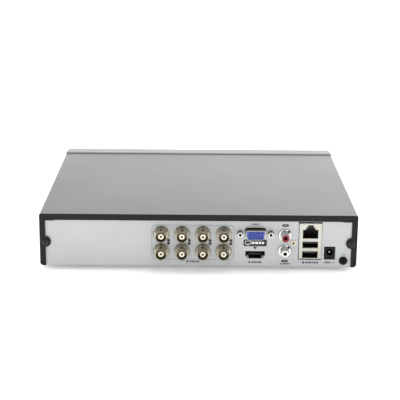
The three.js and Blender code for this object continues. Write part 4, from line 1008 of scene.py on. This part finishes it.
# the side view of a gull-wing leg, as (outwards, up)
LEG = [(-0.1, 0.62), (0.34, 0.62), (0.5, 0.14), (1.1, 0.14),
       (1.1, 0.02), (0.42, 0.02), (0.27, 0.5), (-0.1, 0.5)]


def leg_places(length, pitch):
    """Places of the legs along a side, about its middle, leaving 1 mm free at each end."""
    count = int((length - 2) / pitch)
    return [(k - (count - 1) / 2) * pitch for k in range(count)]


def add_chip(build, u, d, width, length, height, pitch=1.0, sides="xy"):
    """A moulded package with gull-wing legs along the sides named and a dimple at its first leg."""
    middle = on_board(u, d)
    half = Vector((width / 2, length / 2, 0))
    build.box(middle - half + Vector((0, 0, 0.15)), middle + half + Vector((0, 0, height)), "chip", 0.15)
    # the dimple drawn as a near-black disc: painted shade
    dimple = middle + Vector((width / 2 - 1.3, length / 2 - 1.3, height))
    build.turned(disc(0.5, -0.1, 0.012), dimple, "+Z", "hole", 12)
    for side in (-1, 1):
        foot = [(side * out, z) for out, z in LEG]
        if "x" in sides:
            for along in leg_places(length, pitch):
                at = middle + Vector((side * half.x, along, 0))
                build.prism(foot, -pitch * 0.22, pitch * 0.22, at, "+Y", "tin", 0)
        if "y" in sides:
            for along in leg_places(width, pitch):
                at = middle + Vector((along, side * half.y, 0))
                build.prism(foot, -pitch * 0.22, pitch * 0.22, at, "+X", "tin", 0)


def add_capacitor(build, u, d, radius=4.0, height=11.0):
    """An upright capacitor: sleeved can with a scored bright top."""
    at = on_board(u, d)
    groove = [(radius, 0.3), (radius, 1.4), (radius - 0.35, 1.8), (radius, 2.2)]
    top = radius - 0.8
    can = [(0, 0.3)] + groove + [(radius, height - 0.5), (radius - 0.4, height), (top, height), (0, height)]
    build.turned(can, at, "+Z", "sleeve", 32)
    build.turned(disc(top, height, height + 0.06), at, "+Z", "bright", 32)
    # the scores: thin strips of the darker nickel, painted shade
    score = height + 0.08
    for reach_x, reach_y in ((radius * 0.6, 0.12), (0.12, radius * 0.6)):
        low, high = Vector((-reach_x, -reach_y, score - 0.05)), Vector((reach_x, reach_y, score))
        build.box(at + low, at + high, "nickel_dark", 0)


def add_coil(build, u, d, size=7.0, height=4.0):
    """A power coil: copper winding on a dark ferrite drum."""
    at = on_board(u, d)
    build.prism(rounded(size, size, 1.2), 0.1, height * 0.3, at, "+Z", "chip")
    build.prism(rounded(size, size, 1.2), height * 0.75, height, at, "+Z", "chip")
    turns = int(height * 0.45 / 0.4)
    for k in range(turns):
        winding = circle(0.2, size * 0.36, height * 0.33 + 0.4 * k, 6)
        build.turned(winding, at, "+Z", "copper", 24, closed=True)
    build.turned(disc(size * 0.34, 0.2, height - 0.1), at, "+Z", "chip", 24)


def add_header(build, u, d, width, length, height, material="white", pins=4):
    """A cable header: keyed shroud, open at the top, with a row of pins."""
    middle = on_board(u, d)
    outer = rounded(width, length, 0.5, 2)
    inner = rounded(width - 1.6, length - 1.6, 0.3, 2)
    build.plate(outer, [], 0.1, 1.6, middle, "+Z", material, 0.05)
    build.ring_wall(outer, inner, 1.5, height, middle, "+Z", material)
    for k in range(pins):
        x = (k - (pins - 1) / 2) * (width - 3) / max(pins - 1, 1)
        low, high = Vector((x - 0.3, -0.3, 1)), Vector((x + 0.3, 0.3, height - 1))
        build.box(middle + low, middle + high, "gold", 0.08)


# Soldered parts, with u counted from the left edge seen from behind and d from the rear.
# Chips: (u, d, width, length, height, sides with legs).
CHIPS = ((170, 28, 14, 14, 1.4, "xy"), (190, 28, 12, 12, 1.4, "xy"), (130, 92, 12, 14, 1.4, "x"),
         (130, 110, 12, 14, 1.4, "x"), (224, 62, 12, 12, 5, "x"))
CAPACITORS = ((214, 40), (228, 40), (238, 60))
COILS = ((238, 78), (238, 90))
# Headers: (u, d, width, length, height, material, pins).
HEADERS = ((126, 46, 9, 16, 8, "black", 2), (142, 46, 10, 8, 9, "white", 4), (104, 40, 8, 6, 7, "white", 2),
           (212, 120, 18, 6, 6, "black", 8))
BUZZER = (200, 112)
OTHERS = ((168, 78, 44, 44), (210, 90, 30, 26), (200, 112, 14, 14))  # heatsink, battery, buzzer
PARTS_IN_ALL = 150  # soldered parts and screws together, the scattered small ones making up the number
SOCKETS_DEPTH = 22  # the sockets' bodies stand this far in from the rear


NOTCH = (119, 46)  # the drive's bay: the board narrows left of this u, beyond this depth


def board_outline():
    low, high = box_mm("main_board")
    inner, step = across(NOTCH[0]), high.y - NOTCH[1]
    corners = [(low.x, low.y), (inner, low.y), (inner, step), (high.x, step), (high.x, high.y),
               (low.x, high.y)]
    return soften(corners, 1.5)


def board_screw_places():
    low = box_mm("main_board")[0]
    rear, front = from_rear(30), low.y + 6
    return [(across(160), rear), (low.x + 6, rear), (across(NOTCH[0] + 8), front), (low.x + 6, front)]


def scatter_small_parts(build):
    """Chip resistors and capacitors on the free parts of the board."""
    dice = random.Random(7)
    low, high = box_mm("main_board")
    taken = [(across(u), from_rear(d), w / 2 + 2, h / 2 + 2) for u, d, w, h, *_ in CHIPS + HEADERS + OTHERS]
    taken += [(across(u), from_rear(d), 6, 6) for u, d in CAPACITORS + COILS]
    taken += [(x, y, 5, 5) for x, y in board_screw_places()]
    while len(taken) < PARTS_IN_ALL:
        x, y = dice.uniform(low.x + 3, high.x - 3), dice.uniform(low.y + 3, high.y - SOCKETS_DEPTH)
        off_board = x > across(NOTCH[0] + 2) and y < high.y - NOTCH[1] + 2
        if off_board or any(abs(x - a) < w + 1 and abs(y - b) < h + 1 for a, b, w, h in taken):
            continue
        taken.append((x, y, 1.2, 1.2))
        half_x, half_y = (0.8, 0.42) if dice.random() < 0.5 else (0.42, 0.8)
        body = dice.choice(("ceramic", "chip", "chip"))
        end_x, end_y = (0.3, -0.02) if half_x > half_y else (-0.02, 0.3)
        small_block(build, x, y, half_x, half_y, 0.02, 0.5, "tin", 0.06)
        small_block(build, x, y, half_x - end_x, half_y - end_y, 0.03, 0.54, body, 0.05)


def small_block(build, x, y, half_x, half_y, low, high, material, bevel):
    """A block standing on the main board, its low and high faces measured from the board."""
    corner = (x - half_x, y - half_y, BOARD + low)
    build.box(corner, (x + half_x, y + half_y, BOARD + high), material, bevel, 1)


def make_main_board():
    board = Build("main_board_shown", slot="circuit_board")
    holes = [circle(1.6, x, y, 20) for x, y in board_screw_places()]
    board.plate(board_outline(), holes, BOARD - 1.6, BOARD, (0, 0, 0), "+Z", "board")
    for u, d, width, length, height, sides in CHIPS:
        add_chip(board, u, d, width, length, height, sides=sides)
    for u, d in CAPACITORS:
        add_capacitor(board, u, d)
    for u, d in COILS:
        add_coil(board, u, d)
    for u, d, width, length, height, material, pins in HEADERS:
        add_header(board, u, d, width, length, height, material, pins)
    crystal = on_board(186, 52)
    board.prism(rounded(11, 4.5, 2.2), 0.1, 3.4, crystal, "+Z", "bright", 0.4)
    buzzer = [(0, 0.1), (6, 0.1), (6, 6.6), (5.6, 7), (1.2, 7), (1.2, 6), (0, 6)]
    board.turned(buzzer, on_board(*BUZZER), "+Z", "black", 36)
    scatter_small_parts(board)
    for x, y in board_screw_places():
        cross_head(board, (x, y, BOARD + 0.02), "+Z", 2.8, 1.7, "bright")
    board.finish("main_board")


# ------------------------------------------------------------------ fan
def make_fan():
    """A 40 mm fan that blows through the side wall; its rotor has a capped hub and seven curved blades."""
    low, high = box_mm("fan_rotor")
    at = (high.x, (low.y + high.y) / 2, (low.z + high.z) / 2)
    depth = high.x - low.x
    rotor = Build("fan_rotor_shown", "fan_impeller", "black_plastic")
    hub = [(0, 0), (8.2, 0), (8.9, 0.25), (9.2, 0.9), (9.2, depth), (0, depth)]
    rotor.turned(hub, at, "-X", "black", 48)
    rotor.turned(disc(6.2, -0.02, 0.05), at, "-X", "ink_grey", 40)
    place = Matrix.Translation(at) @ AXES["-X"]
    blades, stations, root, blade_tip = 7, 6, 8.8, 17.6
    for blade in range(blades):
        rings = []
        for step in range(stations + 1):
            radius = root + (blade_tip - root) * step / stations
            beyond = radius - root
            sweep = 2 * math.pi * blade / blades + 0.035 * beyond
            pitch, chord = math.radians(42 - 2.1 * beyond), 7 + 0.6 * beyond
            faces = [(t / 4 - 0.5, 0.32) for t in range(5)] + [(0.5 - t / 4, -0.32) for t in range(5)]
            ring = []
            for t, lift in faces:
                turn = sweep + t * chord * math.cos(pitch) / radius
                rise = depth / 2 + t * chord * math.sin(pitch) + 0.7 * (1 - 4 * t * t) - 0.35 + lift
                ring.append((radius * math.cos(turn), radius * math.sin(turn), rise))
            rings.append(ring)
        rotor.skin(rings, "black", place)
    rotor.finish("fan_rotor")


# ------------------------------------------------------------------ hard drive
def label_bars(build, x, y, width, lines, material, at_z, axis="+Z"):
    """Plain bars standing in for the printing on a label."""
    dice = random.Random(int(width * 10) + lines)
    for line in range(lines):
        share = dice.uniform(0.35, 0.9)
        bar = rounded(width * share, 1.4, 0.2, 1)
        at = (x - width * (1 - share) / 2, y - 3.2 * line, at_z)
        build.plate(bar, [], 0, 0.02, at, axis, material, 0)


def make_drive():
    """The drive's lid with its raised disc cover, screws and blank label."""
    low, high = box_mm("drive_cover")
    spindle, pivot = centre_mm("drive_platters"), centre_mm("drive_head_arm")
    middle = (low + high) / 2
    width, length = high.x - low.x, high.y - low.y
    lid = Build("drive_cover_shown", slot="bright_nickel")
    at = (middle.x, middle.y, low.z)
    lid.prism(rounded(width, length, 4), 0, 0.9, at, "+Z", "drive_lid", 0.2)
    above_discs = (spindle.x, spindle.y, low.z)
    lid.turned([(0, 0.8), (45.5, 0.8), (44.6, 1.35), (0, 1.35)], above_discs, "+Z", "drive_lid", 90)
    lid.turned([(0, 1.3), (11, 1.3), (10.8, 1.38), (0, 1.38)], above_discs, "+Z", "drive_lid", 48)
    over_pivot = (middle.x + 14, min(pivot.y + 24, high.y - 20), low.z)
    lid.prism(rounded(52, 30, 8), 0.8, 1.35, over_pivot, "+Z", "drive_lid", 0.2)
    for side in (-1, 1):
        for end in (-1, 0, 1):
            x, y = middle.x + side * (width / 2 - 3.6), middle.y + end * (length / 2 - 4)
            cross_head(lid, (x, y, low.z + 0.85), "+Z", 2.1, 0.72, "bright")
    label = (middle.x - 2, spindle.y - 8)
    lid.plate(rounded(58, 46, 1.5), [], 1.37, 1.45, (label[0], label[1], low.z), "+Z", "paper", 0)
    label_bars(lid, label[0] - 2, label[1] + 17, 46, 6, "ink", low.z + 1.46)
    lid.plate(rounded(14, 9, 0.5), [], 1.46, 1.48, (label[0] + 18, label[1] - 14, low.z), "+Z", "ink", 0)
    lid.finish("drive_cover")


# ------------------------------------------------------------------ cables
def laid(route, level):
    """A route's points, each given as x, depth from the rear and height above the level."""
    return [(x, from_rear(d), level + z) for x, d, z in route]


def make_cables():
    level = BOARD + 4.5
    data = Build("sata_cable_shown", slot="cable_red")
    route = [(88, 45, 2), (84, 35, 2), (66, 28, 4), (44, 26, 6),
             (24, 27, 6), (9, 29, 6), (4, 33, 4), (4, 36, 2)]
    data.wire(laid(route, level), 4, "cable_red", 0.2, 8, 12)
    data.box((83, from_rear(55.9), level - 1), (93, from_rear(43), level + 5), "black", 0.5)
    data.box((-1, from_rear(37.7), level - 2), (9, from_rear(32), level + 5), "black", 0.5)
    data.finish("sata_cable")

    level = BOARD + 3
    power = Build("drive_power_cable_shown", slot="cable_black")
    route = [(62, 50, 4), (60, 41, 6), (48, 36, 12), (28, 37, 18),
             (8, 40, 20), (-8, 44, 18), (-12, 46, 13), (-12, 46, 7.4)]
    colours = ("cable_yellow", "cable_black", "cable_red", "cable_black")
    places = ((-0.95, 0.95), (0.95, 0.95), (-0.95, -0.95), (0.95, -0.95))
    for colour, offset in zip(colours, places):
        power.wire(laid(route, level), 0.85, colour, 1, 8, 10, offset)
    power.box((50, from_rear(55.9), level), (74, from_rear(46), level + 6), "black", 0.5)
    power.box((-16.5, from_rear(49.5), BOARD + 9.3), (-7.5, from_rear(42.5), BOARD + 15), "white", 0.5)
    power.finish("drive_power_cable")

    lead = Build("fan_lead_shown", slot="cable_black")
    route = [(115.2, 47, 24), (108, 47.5, 22), (92, 40, 16), (64, 22, 16),
             (40, 22, 20), (30, 34, 18), (26, 40, 12), (26, 40, 9)]
    for colour, side in (("cable_red", -0.6), ("cable_black", 0.6)):
        lead.wire(laid(route, BOARD), 0.55, colour, 1, 8, 8, (side, 0))
    lead.box((22.5, from_rear(42.5), BOARD + 7.3), (29.5, from_rear(37.5), BOARD + 11), "white", 0.4)
    lead.finish("fan_lead")

    ribbon = Build("front_cable_shown", slot="cable_black")
    level = up(15)
    route = [(-82, 123, 4), (-80, 140, 8), (-76, 165, 6), (-74, 190, 2), (-74, 203, 0)]
    for k in range(10):
        colour, aside = "cable_red" if k == 0 else "cable_grey", (k - 4.5) * 1.16
        ribbon.wire(laid(route, level), 0.58, colour, 1, 6, 8, (aside, 0))
    ribbon.box((-90, from_rear(123), BOARD + 6.3), (-74, from_rear(117.5), BOARD + 15), "black", 0.4)
    ribbon.box((-81, from_rear(206.9), level - 2.5), (-67, from_rear(201), level + 2.5), "white", 0.4)
    ribbon.finish("front_cable")


# ------------------------------------------------------------------ underside and front
def make_underside():
    """The four screws that hold the drive, and a blank rating label."""
    low, high = box_mm("drive_case")
    middle, rear = (low.x + high.x) / 2, high.y
    screws = Build("drive_screws")
    half_across, first_hole, along = 47.625, 41.3, 44.45  # the hole pattern under every 3.5 inch drive
    for x in (middle - half_across, middle + half_across):
        for y in (rear - first_hole, rear - first_hole - along):
            cross_head(screws, (x, y, BASE - 0.02), "-Z", 2.7, 1.3, "bright", 4, 1.6)
    screws.finish()
    label = Build("rating_label")
    at = (-62, 20, BASE)
    label.plate(rounded(62, 30, 2), [], 0.01, 0.08, at, "-Z", "paper", 0)
    label_bars(label, at[0], at[1] + 8, 48, 6, "ink", BASE - 0.09, "-Z")
    label.finish()


def make_front_marks():
    """Pictograms over the status lights and the accessory socket: mains, disc, network and a plug."""
    face = box_mm("fascia_window")[0].y
    marks = Build("front_marks")

    def mark(outer, holes, x, z):
        marks.plate(outer, holes, 0.005, 0.02, (x, face, z), "-Y", "ink_grey", 0)

    lights = centre_mm("led_light_guide")
    z = lights.z + 5.5
    mark(circle(1.3), [circle(1)], lights.x - 9, z)
    mark(rounded(0.3, 1.2, 0.1, 1), [], lights.x - 9, z + 0.9)
    mark(circle(1.4), [circle(0.5)], lights.x, z)
    for dx, dz in ((-0.9, -0.7), (0.9, -0.7), (0, 0.8)):
        mark(rounded(1.1, 0.8, 0.1, 1), [], lights.x + 9 + dx, z + dz)
    port = centre_mm("front_usb_port")
    mark(rounded(5, 2.2, 0.3, 2), [rounded(4.3, 1.5, 0.2, 2)], port.x, port.z + 6)
    mark(rounded(3, 0.4, 0.1, 1), [], port.x, port.z + 6.2)
    marks.finish()


# ------------------------------------------------------------------ stage
# radiance of the sky, as seen from behind the object
SKY = {"left": 2.47, "right": 3.12, "socket_side": 0.35}


def make_stage():
    """A pale floor, the sky and two soft lamps."""
    floor_mesh = bpy.data.meshes.new("floor")
    size = 6
    corners = [(-size, -size, 0), (size, -size, 0), (size, size, 0), (-size, size, 0)]
    floor_mesh.from_pydata(corners, [], [(0, 1, 2, 3)])
    floor = bpy.data.objects.new("floor", floor_mesh)
    scene.collection.objects.link(floor)
    paper = Finish("floor_paper", (0.93, 0.93, 0.93, 1), 0.7)
    paper.bump(0.6, 0.01)
    paper.shader.inputs["Emission Color"].default_value = (1, 1, 1, 1)
    paper.shader.inputs["Emission Strength"].default_value = 0.19  # a light table: shadows stay faint
    hide_from_below(paper)
    floor_mesh.materials.append(paper.material)

    make_sky()
    lamp("panel_fill", (0.3, 1.9, 0.9), (0, 0, 0.03), 1.6, 1.2, 14)
    lamp("top_fill", (-0.4, 0.3, 2.0), (0, 0, 0), 1.6, 1.6, 10)


def hide_from_below(finish):
    """Makes a one-sided surface clear from behind, so that the underside can be looked at."""
    clear = finish.nodes.new("ShaderNodeBsdfTransparent")
    side = finish.nodes.new("ShaderNodeNewGeometry")
    mix = finish.nodes.new("ShaderNodeMixShader")
    finish.links.new(side.outputs["Backfacing"], mix.inputs[0])
    finish.links.new(finish.shader.outputs[0], mix.inputs[1])
    finish.links.new(clear.outputs[0], mix.inputs[2])
    finish.links.new(mix.outputs[0], finish.nodes["Material Output"].inputs["Surface"])


def make_sky():
    """A sky that is bright in front of the object, where its lid reflects it, and dim behind it."""
    world = bpy.data.worlds.new("studio")
    world.use_nodes = True
    nodes, links = world.node_tree.nodes, world.node_tree.links
    direction = nodes.new("ShaderNodeSeparateXYZ")
    links.new(nodes.new("ShaderNodeTexCoord").outputs["Generated"], direction.inputs[0])

    def ramp(value, start, end, low, high):
        node = nodes.new("ShaderNodeMapRange")
        names = ("Value", "From Min", "From Max", "To Min", "To Max")
        for key, setting in zip(names, (value, start, end, low, high)):
            if hasattr(setting, "is_output"):
                links.new(setting, node.inputs[key])
            else:
                node.inputs[key].default_value = setting
        return node.outputs["Result"]

    bright = ramp(direction.outputs["X"], -0.16, 0.16, SKY["right"], SKY["left"])
    strength = ramp(direction.outputs["Y"], -0.25, 0.35, bright, SKY["socket_side"])
    background = nodes["Background"]
    background.inputs["Color"].default_value = (1, 0.995, 0.985, 1)
    links.new(strength, background.inputs["Strength"])
    scene.world = world


def lamp(name, place, aim, width, height, power):
    """A soft lamp that lights surfaces without showing in their reflections."""
    light = bpy.data.lights.new(name, "AREA")
    light.shape, light.size, light.size_y, light.energy = "RECTANGLE", width, height, power
    thing = bpy.data.objects.new(name, light)
    scene.collection.objects.link(thing)
    thing.location = place
    thing.rotation_euler = (Vector(aim) - Vector(place)).to_track_quat("-Z", "Y").to_euler()
    thing.visible_camera = False
    thing.visible_glossy = False


def make_camera():
    """Behind the object, looking down on its sockets by 16 degrees, and a hair off level."""
    azimuth, elevation, roll = math.radians(-0.22), math.radians(16.27), math.radians(0.482)
    camera = bpy.data.objects.new("camera", bpy.data.cameras.new("camera"))
    camera.data.sensor_width, camera.data.lens = 36, 104.96
    level = math.cos(elevation)
    back = Vector((-math.sin(azimuth) * level, math.cos(azimuth) * level, math.sin(elevation)))
    right = (-back).cross(Vector((0, 0, 1))).normalized()
    down = (-back).cross(right)
    level_right = right * math.cos(roll) - down * math.sin(roll)
    level_up = -(right * math.sin(roll) + down * math.cos(roll))
    turn = Matrix((level_right, level_up, back)).transposed().to_4x4()
    camera.matrix_world = Matrix.Translation((0.0026, REAR * MM + 0.9064, BASE * MM + 0.322)) @ turn
    scene.collection.objects.link(camera)
    scene.camera = camera
    scene.view_settings.view_transform = "Standard"


dress_cad_nodes()
make_cover_screws()
make_front_socket()
make_video_sockets()
make_monitor_socket()
make_digital_socket()
make_audio()
make_stacked_sockets()
make_power()
make_ground()
make_panel_print()
make_main_board()
make_fan()
make_drive()
make_cables()
make_underside()
make_front_marks()
make_stage()
make_camera()

bpy.context.view_layer.update()
